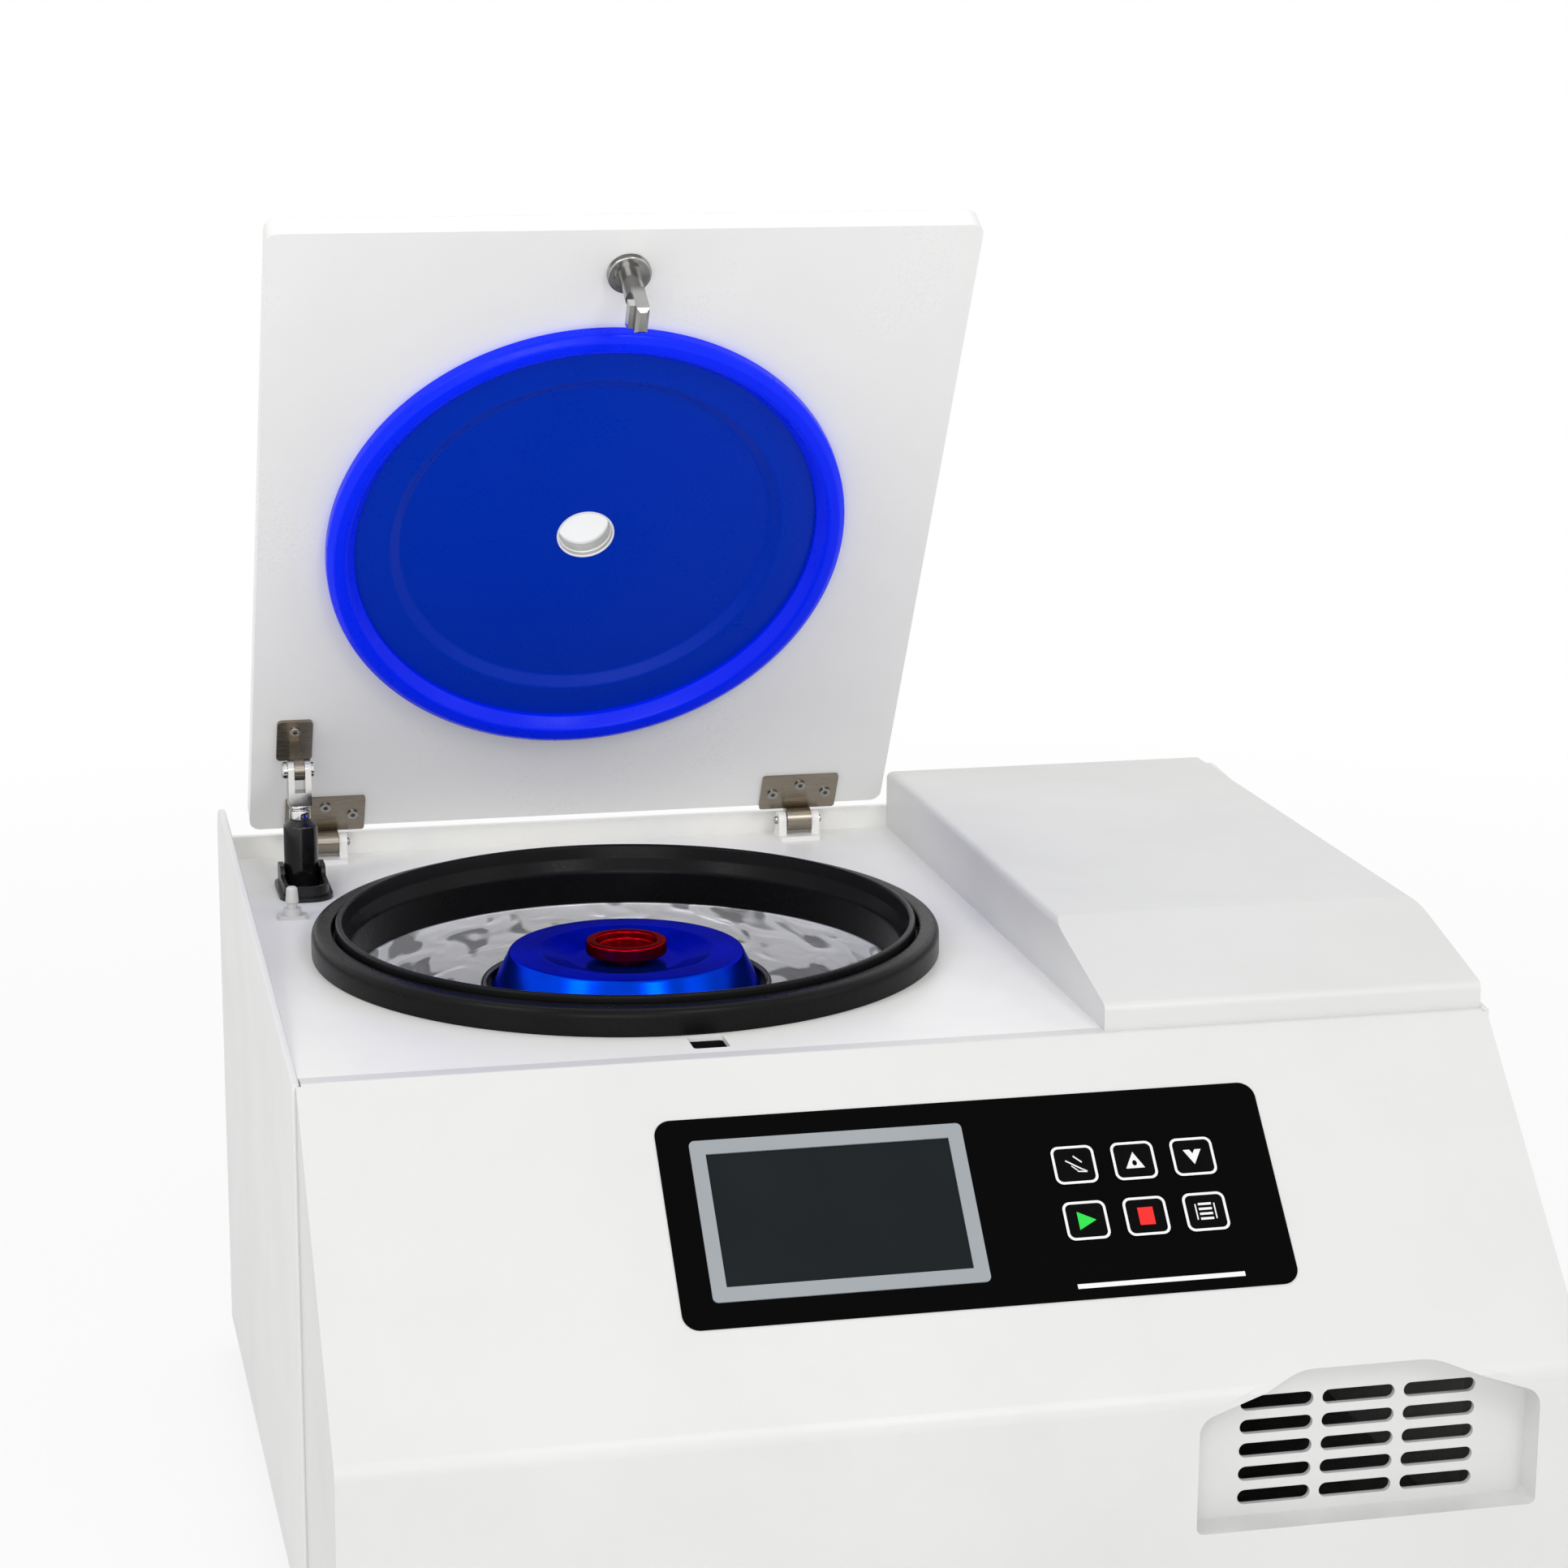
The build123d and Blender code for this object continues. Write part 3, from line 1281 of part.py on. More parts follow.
# Lid lock under the deck's slot: a housing and a latch that slides over the striker's nose
lock_top = deck_height - deck_thickness
nose_ledge_z = deck_height + gasket_height + lid_gap - nose_top + nose_height
latch_middle_z = nose_ledge_z + latch_thickness / 2 + lock_play
latch_tip_x = slot_x - slot_width / 2 - free_clearance
latch_length = latch_grip + latch_travel
latch_back_x = latch_tip_x - latch_length
with BuildPart() as lock_housing:
    with BuildSketch(Plane.XY.offset(lock_top - lock_depth)):
        with Locations((slot_x, slot_y)):
            Rectangle(slot_width + 2 * lock_wall, slot_length + 2 * lock_wall)
    extrude(amount=lock_depth)
    with BuildSketch(Plane.XY.offset(lock_top - 2 * lock_wall - 3 * latch_thickness)):
        with Locations(((slot_x + latch_back_x) / 2, slot_y)):
            Rectangle(slot_x - latch_back_x, latch_width + 2 * lock_wall)
    extrude(amount=2 * lock_wall + 3 * latch_thickness)
    with BuildSketch(Plane.XY.offset(lock_top - lock_depth + lock_wall)):
        with Locations((slot_x, slot_y)):
            Rectangle(slot_width, slot_length)
    extrude(amount=lock_depth, mode=Mode.SUBTRACT)
    with BuildSketch(facing_right(latch_back_x - seam)):
        with Locations((slot_y, latch_middle_z)):
            Rectangle(latch_width + 2 * free_clearance, latch_thickness + 2 * free_clearance)
    extrude(amount=slot_x - latch_back_x, mode=Mode.SUBTRACT)
keep(lock_housing, "lock_housing")

with BuildPart() as lock_latch:
    with BuildSketch(facing_right(latch_back_x)):
        with Locations((slot_y, latch_middle_z)):
            Rectangle(latch_width, latch_thickness)
    extrude(amount=latch_length)
    chamfer(lock_latch.edges().group_by(Axis.X)[-1], 1.0)
keep(lock_latch, "lock_latch")

# Cooling unit: compressor on the tray, condenser against the rear panel, and its fan
compressor_y = deck_front_y + compressor_from_front
with BuildPart() as compressor:
    with BuildSketch(Plane.XY.offset(tray_top_z + compressor_standoff)):
        with Locations((cooler_x, compressor_y)):
            Circle(compressor_radius)
    extrude(amount=compressor_height - compressor_standoff)
    fillet(compressor.edges().group_by(Axis.Z)[-1], compressor_dome)
    fillet(compressor.edges().group_by(Axis.Z)[0], compressor_underside)
    with BuildSketch(Plane.XY.offset(tray_top_z + compressor_seam_height)):
        with Locations((cooler_x, compressor_y)):
            Circle(compressor_radius + compressor_seam_proud)
    extrude(amount=compressor_seam_width)
    with BuildSketch(Plane.XY.offset(tray_top_z)):
        with Locations((cooler_x, compressor_y)):
            with PolarLocations(compressor_radius - compressor_foot_inset, 3, 90):
                Circle(compressor_foot_radius)
    extrude(amount=compressor_foot_height)
    with BuildSketch(Plane.XY.offset(tray_top_z + compressor_height - compressor_standoff)):
        with Locations((cooler_x - compressor_pipe_offset, compressor_y)):
            Circle(compressor_pipe_radius)
    extrude(amount=compressor_standoff + compressor_pipe_rise)
keep(compressor, "compressor")

condenser_front_y = deck_rear_y - condenser_depth
fan_back_y = condenser_front_y - 2 * free_clearance
fin_count = int(condenser_width / condenser_fin_pitch)
with BuildPart() as condenser:
    with BuildSketch(facing_front(deck_rear_y)):
        with Locations((cooler_x, condenser_z)):
            with GridLocations(condenser_fin_pitch, 1, fin_count, 1):
                Rectangle(1.0, condenser_height)
            with GridLocations(condenser_width, 1, 2, 1):
                Rectangle(2.0, condenser_height)
            with GridLocations(1, condenser_height / 5, 1, 5):
                Rectangle(condenser_width, 8.0)
    extrude(amount=condenser_depth)
    with BuildSketch(facing_front(condenser_front_y)):
        with Locations((cooler_x, condenser_z)):
            Circle(fan_shaft_radius)
    extrude(amount=fan_depth)
keep(condenser, "condenser")

with BuildPart() as fan_rotor:
    with BuildSketch(facing_front(fan_back_y)):
        with Locations((cooler_x, condenser_z)):
            Circle(fan_hub_radius)
    extrude(amount=fan_depth)
    for blade in range(fan_blades):
        turn = radians(blade * 360 / fan_blades)
        outward = Vector(cos(turn), 0, sin(turn))
        root = Vector(cooler_x, fan_back_y - fan_depth / 2, condenser_z) + outward * (fan_hub_radius - 4)
        chord = Vector(-sin(turn), 0, cos(turn)) * cos(radians(32)) + Vector(0, -1, 0) * sin(radians(32))
        with BuildSketch(Plane(origin=root, x_dir=chord, z_dir=outward)):
            RectangleRounded(30, 2.0, 0.9)
        extrude(amount=fan_radius - fan_hub_radius + 4)
    with BuildSketch(facing_front(fan_back_y)):
        with Locations((cooler_x, condenser_z)):
            Circle(fan_shaft_radius + running_clearance)
    extrude(amount=fan_depth, mode=Mode.SUBTRACT)
keep(fan_rotor, "fan_rotor")

# Power inlet module in the rear panel, with three pins and a rocker switch
socket_x = inlet_x - rocker_width / 2 - 1.5
rocker_x = inlet_x + inlet_width / 2 - rocker_width / 2 - 3.0
rocker_axis_y = rear_y - rocker_sink
rocker_pocket = rocker_height + 2.0
rocker_swing = rocker_height / 2 * sin(radians(rocker_tilt))
with BuildPart() as power_inlet:
    with BuildSketch(facing_front(rear_y)):
        with Locations((inlet_x, inlet_z)):
            Rectangle(inlet_width, inlet_height)
    extrude(amount=inlet_depth)
    with BuildSketch(facing_front(rear_y)):
        with Locations((socket_x, inlet_z)):
            RectangleRounded(socket_width, socket_height, 3.0)
    extrude(amount=socket_depth, mode=Mode.SUBTRACT)
    with BuildSketch(facing_front(rear_y - socket_depth)):
        with Locations((socket_x, inlet_z)):
            with Locations((-7, -2), (0, 3), (7, -2)):
                Rectangle(2.0, 5.0)
    extrude(amount=2.5 - socket_depth)
    with BuildSketch(facing_front(rear_y)):
        with Locations((rocker_x, inlet_z)):
            Rectangle(rocker_width + 2 * free_clearance, rocker_pocket)
    extrude(amount=rocker_sink + rocker_back + rocker_swing + rocker_room, mode=Mode.SUBTRACT)
    with BuildSketch(facing_right(rocker_x - rocker_width / 2 - 2)):
        with Locations((rocker_axis_y, inlet_z)):
            Circle(rocker_stub + running_clearance)
    extrude(amount=rocker_width + 4, mode=Mode.SUBTRACT)
keep(power_inlet, "power_inlet")

with BuildPart() as power_rocker:
    with BuildSketch(facing_right(rocker_x - rocker_width / 2)):
        with BuildLine():
            Polyline((rocker_axis_y - rocker_back, inlet_z - rocker_height / 2 + 2),
                     (rocker_axis_y + 4.5, inlet_z - rocker_height / 2), (rocker_axis_y + 3, inlet_z),
                     (rocker_axis_y + 4.5, inlet_z + rocker_height / 2),
                     (rocker_axis_y - rocker_back, inlet_z + rocker_height / 2 - 2), close=True)
        make_face()
    extrude(amount=rocker_width)
    with BuildSketch(facing_right(rocker_x - rocker_width / 2 - 1.5)):
        with Locations((rocker_axis_y, inlet_z)):
            Circle(rocker_stub)
    extrude(amount=rocker_width + 3)
keep(power_rocker, "power_rocker")

os.makedirs("parts", exist_ok=True)
for piece in finished:
    export_step(piece, "parts/" + piece.label + ".step")
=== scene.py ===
# %% [markdown]
# # A cooled bench centrifuge with its lid open
# The solid model gives every piece its size and place. This lesson gives the pieces their looks:
# smooth turned surfaces where the eye would see facets, printed symbols, and a finish for each
# material. Every shape is a function of two numbers, worked out for whole arrays at once.

# %% Load the frame
import bpy
import bmesh
import json
import math
import numpy as np
from mathutils import Matrix, Vector


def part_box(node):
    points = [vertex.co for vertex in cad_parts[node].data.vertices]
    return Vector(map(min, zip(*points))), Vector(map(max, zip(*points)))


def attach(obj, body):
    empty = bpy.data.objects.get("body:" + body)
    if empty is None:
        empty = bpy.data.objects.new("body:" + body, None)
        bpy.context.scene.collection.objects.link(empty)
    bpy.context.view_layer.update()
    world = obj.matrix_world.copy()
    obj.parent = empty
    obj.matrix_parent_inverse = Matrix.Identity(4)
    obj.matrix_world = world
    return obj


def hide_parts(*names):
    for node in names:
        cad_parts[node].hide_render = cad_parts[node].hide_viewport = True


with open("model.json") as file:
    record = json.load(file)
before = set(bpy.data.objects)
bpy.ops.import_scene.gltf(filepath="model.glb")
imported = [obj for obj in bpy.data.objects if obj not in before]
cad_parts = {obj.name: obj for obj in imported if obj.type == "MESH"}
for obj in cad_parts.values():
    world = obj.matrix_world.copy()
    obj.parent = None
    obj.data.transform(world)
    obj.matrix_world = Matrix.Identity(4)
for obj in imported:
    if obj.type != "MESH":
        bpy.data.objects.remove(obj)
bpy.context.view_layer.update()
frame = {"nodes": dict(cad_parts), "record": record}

# %% [markdown]
# ## Sizes the looks share with the solids
# All lengths are metres. The chamber's axis stands upright, and the lid's surfaces are given by
# three directions: across the lid, along it to its tip, and out of its underside.

# %% Places
millimetre = 0.001
deck_height = 0.330
lid_left_edge = -0.310
lid_behind_hinge = 0.006
lid_face_over_hinge = 0.0083
seal_from_lid_left = 0.197
seal_from_hinge_edge = 0.228
chamber_centre = np.array([-0.113, 0.0595, deck_height])
low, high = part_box("lid_seal")
seal_middle = (np.array(low) + np.array(high)) / 2
open_angle = math.radians(60)
across = np.array([1.0, 0.0, 0.0])
along_lid = np.array([0.0, -math.cos(open_angle), math.sin(open_angle)])
out_of_lid = np.array([0.0, -math.sin(open_angle), -math.cos(open_angle)])
upright = np.array([0.0, 0.0, 1.0])
hinge_line = np.array([0.0, 0.2935, 0.342])
lid_corner = (hinge_line + across * lid_left_edge + along_lid * lid_behind_hinge
              - out_of_lid * lid_face_over_hinge)
seal_centre = lid_corner + across * seal_from_lid_left + along_lid * seal_from_hinge_edge
down_slope = np.array([0.0, -math.sqrt(0.5), -math.sqrt(0.5)])
out_of_slope = np.array([0.0, -math.sqrt(0.5), math.sqrt(0.5)])
slope_corner = np.array([-0.329, -0.1645, deck_height])
print("seal centre", seal_centre.round(4), "middle of its box", seal_middle.round(4))


# %% [markdown]
# ## Turning a profile into a surface
# Rings, bowls and caps are made on a lathe or in a press, so each one is a profile carried round
# an axis. Corners of the profile are rounded first, because a real edge always has a small radius
# that catches the light. The grid then is: angle along one side, profile point along the other.

# %% Helpers for grids of points
def rounded(corners, radii, steps):
    """A closed profile whose corners are arcs: each corner is cut back by radius / tan(half the
    corner's angle), and points on the arc come from a quadratic curve through the cut points."""
    corners = np.array(corners, float)
    radii = np.array(radii, float)
    before = np.roll(corners, 1, axis=0) - corners
    after = np.roll(corners, -1, axis=0) - corners
    reach_before = np.linalg.norm(before, axis=1)
    reach_after = np.linalg.norm(after, axis=1)
    before = before / reach_before[:, None]
    after = after / reach_after[:, None]
    half = np.arccos(np.clip((before * after).sum(1), -0.9999, 0.9999)) / 2
    cut = np.minimum(radii / np.tan(half), 0.49 * np.minimum(reach_before, reach_after))
    share = np.linspace(0, 1, steps)[None, :, None]
    start = (corners + before * cut[:, None])[:, None, :]
    end = (corners + after * cut[:, None])[:, None, :]
    middle = corners[:, None, :]
    arc = (1 - share) ** 2 * start + 2 * share * (1 - share) * middle + share ** 2 * end
    return arc.reshape(-1, 2)


def grid_mesh(name, points):
    """A mesh of quads through a grid of points whose rows and columns close on themselves.
    Points that fall together, as at a pole, are merged, and faces are turned outwards."""
    rows, columns = points.shape[:2]
    row, column = np.meshgrid(np.arange(rows), np.arange(columns), indexing="ij")
    row, column = row.ravel(), column.ravel()
    this, following = row * columns, (row + 1) % rows * columns
    beyond = (column + 1) % columns
    quads = np.stack([this + column, this + beyond, following + beyond, following + column], 1)
    mesh = bpy.data.meshes.new(name)
    mesh.from_pydata(points.reshape(-1, 3).tolist(), [], quads.tolist())
    work = bmesh.new()
    work.from_mesh(mesh)
    bmesh.ops.remove_doubles(work, verts=work.verts, dist=1e-7)
    bmesh.ops.recalc_face_normals(work, faces=work.faces)
    work.to_mesh(mesh)
    work.free()
    mesh.polygons.foreach_set("use_smooth", np.ones(len(mesh.polygons), bool))
    piece = bpy.data.objects.new(name, mesh)
    bpy.context.collection.objects.link(piece)
    return piece


def sharpen(piece, angle):
    """Marks edges sharper than the angle, so flats stay flat while curves stay smooth."""
    piece.data.set_sharp_from_angle(angle=math.radians(angle))


def turned(name, corners, radii, centre, axis, steps, turns, sharp=50):
    """A profile of (radius, height) corners in millimetres, rounded and carried round an axis: the
    point at an angle is centre + radius * (across * cos + side * sin) + axis * height."""
    profile = rounded(corners, radii, steps) * millimetre
    axis = np.array(axis, float)
    side = np.cross(axis, across)
    angle = np.linspace(0, 2 * np.pi, turns, endpoint=False)[:, None, None]
    ring = across * np.cos(angle) + side * np.sin(angle)
    piece = grid_mesh(name, centre + profile[None, :, 0:1] * ring + profile[None, :, 1:2] * axis)
    sharpen(piece, sharp)
    return piece


# %% [markdown]
# ## Mixing finishes
# A finish is a small sum: colour, gloss and fine height, each a formula over the surface. The class
# below lets a formula be written as one, so `mask * 0.5` or `1 - mask` adds its Math node by itself.

# %% The shader helper
class Wire:
    """One output of a node, with arithmetic that adds Math nodes."""

    def __init__(self, finish, socket):
        self.finish = finish
        self.socket = socket

    def maths(self, operation, *values):
        return self.finish.node("ShaderNodeMath", {"operation": operation}, *values)

    def __add__(self, other):
        return self.maths("ADD", self, other)

    def __radd__(self, other):
        return self.maths("ADD", other, self)

    def __sub__(self, other):
        return self.maths("SUBTRACT", self, other)

    def __rsub__(self, other):
        return self.maths("SUBTRACT", other, self)

    def __mul__(self, other):
        return self.maths("MULTIPLY", self, other)

    def __rmul__(self, other):
        return self.maths("MULTIPLY", other, self)

    def beside(self, output):
        """Another output of the same node, by its number or its name."""
        return Wire(self.finish, self.socket.node.outputs[output])


class Finish:
    """A material under construction: node() adds any node and hands back its first output."""

    def __init__(self, name):
        self.material = bpy.data.materials.new(name)
        self.material.use_nodes = True
        self.tree = self.material.node_tree
        self.shader = self.tree.nodes["Principled BSDF"]

    def node(self, kind, settings=None, *values, output=0, **named):
        made = self.tree.nodes.new(kind)
        for key, value in (settings or {}).items():
            if key == "stops":
                ramp = made.color_ramp
                while len(ramp.elements) < len(value):
                    ramp.elements.new(0.5)
                for element, (place, colour) in zip(ramp.elements, value):
                    element.position = place
                    element.color = tuple(colour) + (1.0,)
            else:
                setattr(made, key, value)
        for place, value in list(enumerate(values)) + list(named.items()):
            if value is None:
                continue
            key = place if isinstance(place, int) else place.replace("_", " ")
            if isinstance(value, Wire):
                self.tree.links.new(value.socket, made.inputs[key])
            else:
                made.inputs[key].default_value = value
        return Wire(self, made.outputs[output])

    def place(self):
        return self.node("ShaderNodeTexCoord", output=3)

    def noise(self, scale, detail=3.0, rough=0.5, at=None):
        return self.node("ShaderNodeTexNoise", None, Vector=at or self.place(), Scale=scale,
                         Detail=detail, Roughness=rough)

    def between(self, amount, one, two):
        """A colour mixed from one to two by an amount."""
        return self.node("ShaderNodeMix", {"data_type": "RGBA"}, amount, None, None, None, None, None,
                         one, two, output=2)

    def window(self, value, from_low, from_high, to_low=0.0, to_high=1.0):
        """A value carried from one span to another, and held inside it."""
        return self.node("ShaderNodeMapRange", None, value, from_low, from_high, to_low, to_high)

    def stretch(self, amounts, shift=(0, 0, 0)):
        """Object coordinates shifted and scaled, for patterns with a direction."""
        return self.node("ShaderNodeMapping", None, self.place(), tuple(shift), None, tuple(amounts))

    def height(self, value, depth):
        """Bends the normal by a height that runs from 0 to the depth, in metres."""
        bump = self.node("ShaderNodeBump", None, Strength=1.0, Distance=depth, Height=value)
        self.tree.links.new(bump.socket, self.shader.inputs["Normal"])

    def set(self, **values):
        for key, value in values.items():
            socket = self.shader.inputs[key.replace("_", " ")]
            if isinstance(value, Wire):
                self.tree.links.new(value.socket, socket)
            else:
                socket.default_value = value


# %% [markdown]
# ## White paint and white plastic
# The casing is sheet steel with a baked powder coat, and the front and cover are moulded plastic.
# Both look white, but powder coat has a faint orange-peel skin, and it greys slightly where hands
# and cloths pass. A broad noise tints the colour, and a fine one lifts the surface by microns.

# %% White finishes
def coated(name, colour, shade, peel_scale, peel_depth, gloss):
    """Paint or plastic that greys in broad clouds and has a fine skin."""
    finish = Finish(name)
    broad = finish.noise(9.0, 4.0, 0.6)
    fine = finish.noise(peel_scale, 2.0, 0.5)
    worn = finish.window(broad, 0.40, 0.72)
    finish.set(Base_Color=finish.between(worn, colour + (1,), shade + (1,)),
               Roughness=finish.window(fine * 0.4 + broad * 0.6, 0.3, 0.7, gloss - 0.05, gloss + 0.07))
    finish.height(fine, peel_depth)
    finish.shader.inputs["Specular IOR Level"].default_value = 0.45
    return finish


powder_coat = coated("powder_coat", colour=(0.80, 0.80, 0.79), shade=(0.765, 0.765, 0.76),
                     peel_scale=700.0, peel_depth=0.00004, gloss=0.38)
# The deck's coat is the casing's powder coat made brighter and warmer: painted light against the open lid's
# shade on the deck and the blue light the seal bounces onto it.
deck_coat_painted_light = coated("deck_coat_painted_light", colour=(0.93, 0.925, 0.90), shade=(0.87, 0.87, 0.87),
                   peel_scale=700.0, peel_depth=0.00003, gloss=0.34)
# The plastic's white is set darker than the casing's: painted shade against the extra light of the low front
# lamp.
cover_plastic = coated("cover_plastic", colour=(0.72, 0.72, 0.71), shade=(0.69, 0.69, 0.68),
                       peel_scale=420.0, peel_depth=0.00003, gloss=0.34)
lid_coat = coated("lid_coat", colour=(0.865, 0.865, 0.855), shade=(0.84, 0.84, 0.83),
                  peel_scale=520.0, peel_depth=0.00003, gloss=0.30)
# The trim's white is set to a grey: painted shade, as the sensor pin and its guide are white parts.
white_trim = coated("white_trim", colour=(0.66, 0.66, 0.65), shade=(0.60, 0.60, 0.60),
                    peel_scale=900.0, peel_depth=0.00002, gloss=0.30)
whites = (powder_coat, deck_coat_painted_light, cover_plastic, lid_coat, white_trim)
print("white finishes", [white.material.name for white in whites])


# %% [markdown]
# ## Metals
# Rolled and brushed sheet shows fine lines in one direction. Lines are made by a noise that is
# stretched a hundredfold along the brush, and they vary the gloss far more than the colour.
# Polished parts get painted reflections instead: light and dark bands in their colour that change with the
# angle they are seen at.

# %% Metal finishes
def brushed(name, colour, amounts, gloss, depth=0.00001):
    """Metal with lines along the direction whose amount is small."""
    finish = Finish(name)
    lines = finish.noise(1.0, 4.0, 0.6, at=finish.stretch(amounts))
    cloud = finish.noise(25.0, 3.0)
    dark = tuple(0.72 * part for part in colour)
    finish.set(Base_Color=finish.between(finish.window(lines * 0.7 + cloud * 0.3, 0.3, 0.7),
                                         dark + (1,), colour + (1,)),
               Roughness=finish.window(lines, 0.3, 0.7, gloss - 0.07, gloss + 0.09), Metallic=1.0)
    finish.height(lines, depth)
    return finish


leaf_steel = brushed("leaf_steel", (0.34, 0.30, 0.245), amounts=(60, 3000, 3000), gloss=0.28)
zinc_sheet = brushed("zinc_sheet", (0.55, 0.56, 0.57), amounts=(40, 400, 400), gloss=0.42)
cast_alloy = brushed("cast_alloy", (0.46, 0.47, 0.49), amounts=(300, 300, 300), gloss=0.50, depth=0.00006)
fin_alloy = brushed("fin_alloy", (0.70, 0.71, 0.72), amounts=(200, 200, 900), gloss=0.35)
copper_coil = brushed("copper_coil", (0.72, 0.40, 0.26), amounts=(400, 400, 400), gloss=0.35)


painted_reflection_places = (0.0, 0.24, 0.40, 0.54, 0.66, 0.84, 1.0)


def polished_with_painted_reflections(name, greys, gloss):
    """Polished metal with painted reflections: its base colour runs through light and dark bands as the
    surface turns away from the eye, as if it mirrored a room with dark corners. The greys belong to the band
    places, from facing the eye to edge-on. Paint that goes by the eye's place is a fault: it slides in other
    views, and an exported model loses it. A brushed finish, lit by the room alone, has no such fault."""
    finish = Finish(name)
    facing = finish.node("ShaderNodeLayerWeight", None, 0.5, output=1)
    smudge = finish.noise(90.0, 3.0)
    stops = [(place, (grey, 0.99 * grey, 0.96 * grey)) for place, grey in zip(painted_reflection_places, greys)]
    painted_reflection_tone = finish.node("ShaderNodeValToRGB", {"stops": stops}, facing * 0.92 + smudge * 0.08)
    finish.set(Base_Color=painted_reflection_tone, Metallic=1.0,
               Roughness=finish.window(smudge, 0.3, 0.7, gloss - 0.03, gloss + 0.05))
    finish.height(smudge, 0.00002)
    return finish


# Bright steel and chrome carry painted reflections: their base colour is banded by the angle to the eye.
bright_steel = polished_with_painted_reflections("bright_steel", (0.42, 0.46, 0.20, 0.14, 0.50, 0.22, 0.08), gloss=0.16)
chrome = polished_with_painted_reflections("chrome", (0.70, 0.74, 0.26, 0.12, 0.66, 0.30, 0.05), gloss=0.07)
metals = (leaf_steel, zinc_sheet, cast_alloy, fin_alloy, copper_coil, bright_steel, chrome)
print("metal finishes", [metal.material.name for metal in metals])

# %% [markdown]
# ## The stainless bowl
# A spun bowl is polished round its axis, and its wall is never quite true: the sheet ripples, so reflections
# break into pale and grey patches in loose bands. Here those patches are painted reflections in the base
# colour, from grey to white, over a real ripple bump: a smooth noise pressed flat, so each one is about
# three times as long round the axis as it is high.

# %% The bowl's finish
rippled_steel = Finish("rippled_steel")
sheet = rippled_steel.stretch((21, 21, 62))
painted_reflection_warp = rippled_steel.noise(1.0, 1.0, 0.3, at=rippled_steel.stretch((6, 6, 14)))
ripple_and_painted_reflection_patches = rippled_steel.node("ShaderNodeTexNoise", None, Vector=sheet, Scale=1.5, Detail=1.2, Roughness=0.35,
                             Distortion=0.9)
gloss_and_painted_reflection_bands = rippled_steel.noise(1.0, 2.0, 0.5, at=rippled_steel.stretch((14, 14, 120)))
# Painted reflections: the base colour runs from grey to white over the patches, the warp and the bands; the
# patches also bend the normal as a real ripple.
painted_reflection_tone = rippled_steel.window(ripple_and_painted_reflection_patches * 0.8 + gloss_and_painted_reflection_bands * 0.05 + painted_reflection_warp * 0.15, 0.385, 0.445)
rippled_steel.set(Base_Color=rippled_steel.between(painted_reflection_tone, (0.36, 0.36, 0.355, 1), (1.0, 1.0, 0.99, 1)),
                  Roughness=rippled_steel.window(gloss_and_painted_reflection_bands, 0.3, 0.7, 0.22, 0.34), Metallic=0.25)
rippled_steel.height(ripple_and_painted_reflection_patches, 0.0025)
print("bowl finish ready")


# %% [markdown]
# ## Rubber, plastic and enamel
# Rubber scatters light softly and picks up a little dust, so its colour lifts in faint clouds.
# Anodised aluminium is metal seen through clear dyed glass: a metallic colour, with grooves finer
# than a hair left by the lathe.

# %% Rubber, plastic and colour finishes
def moulded(name, colour, lift, gloss, grain_scale=600.0, grain_depth=0.00003, coat=0.0, shine=0.5):
    """Rubber, plastic or enamel with clouds of dust and a fine grain."""
    finish = Finish(name)
    dust = finish.noise(14.0, 5.0, 0.65)
    grain = finish.noise(grain_scale, 2.0)
    pale = tuple(min(1.0, part + lift) for part in colour)
    finish.set(Base_Color=finish.between(finish.window(dust, 0.42, 0.75), colour + (1,), pale + (1,)),
               Roughness=finish.window(grain * 0.5 + dust * 0.5, 0.35, 0.65, gloss - 0.05, gloss + 0.08),
               Coat_Weight=coat)
    finish.shader.inputs["Specular IOR Level"].default_value = shine
    finish.height(grain, grain_depth)
    return finish


soft_black = moulded("soft_black", (0.005, 0.005, 0.0055), lift=0.003, gloss=0.30, grain_scale=500.0,
                     grain_depth=0.000004, shine=0.10)
feet_rubber = moulded("feet_rubber", (0.10, 0.10, 0.105), lift=0.03, gloss=0.62, shine=0.3)
black_plastic = moulded("black_plastic", (0.009, 0.009, 0.010), lift=0.008, gloss=0.30, grain_scale=900.0,
                        grain_depth=0.00002, shine=0.35)
satin_black = moulded("satin_black", (0.005, 0.005, 0.005), lift=0.003, gloss=0.16, grain_scale=300.0,
                      grain_depth=0.000005)
black_enamel = moulded("black_enamel", (0.018, 0.018, 0.019), lift=0.01, gloss=0.30, grain_scale=300.0,
                       coat=0.4)
bezel_grey = moulded("bezel_grey", (0.31, 0.335, 0.355), lift=0.02, gloss=0.40, grain_scale=1200.0,
                     grain_depth=0.00002, shine=0.3)
board_green = moulded("board_green", (0.02, 0.13, 0.06), lift=0.03, gloss=0.40)
foam_cream = moulded("foam_cream", (0.70, 0.64, 0.45), lift=0.08, gloss=0.85, grain_scale=250.0,
                     grain_depth=0.0003)
seal_silicone = moulded("seal_silicone", (0.0, 0.020, 1.0), lift=0.0, gloss=0.30, grain_scale=260.0,
                        grain_depth=0.00002, shine=0.16)
liner_enamel = moulded("liner_enamel", (0.0, 0.030, 0.46), lift=0.0, gloss=0.30, grain_scale=380.0,
                       grain_depth=0.00002, shine=0.12)


grooves_per_metre = 5200.0


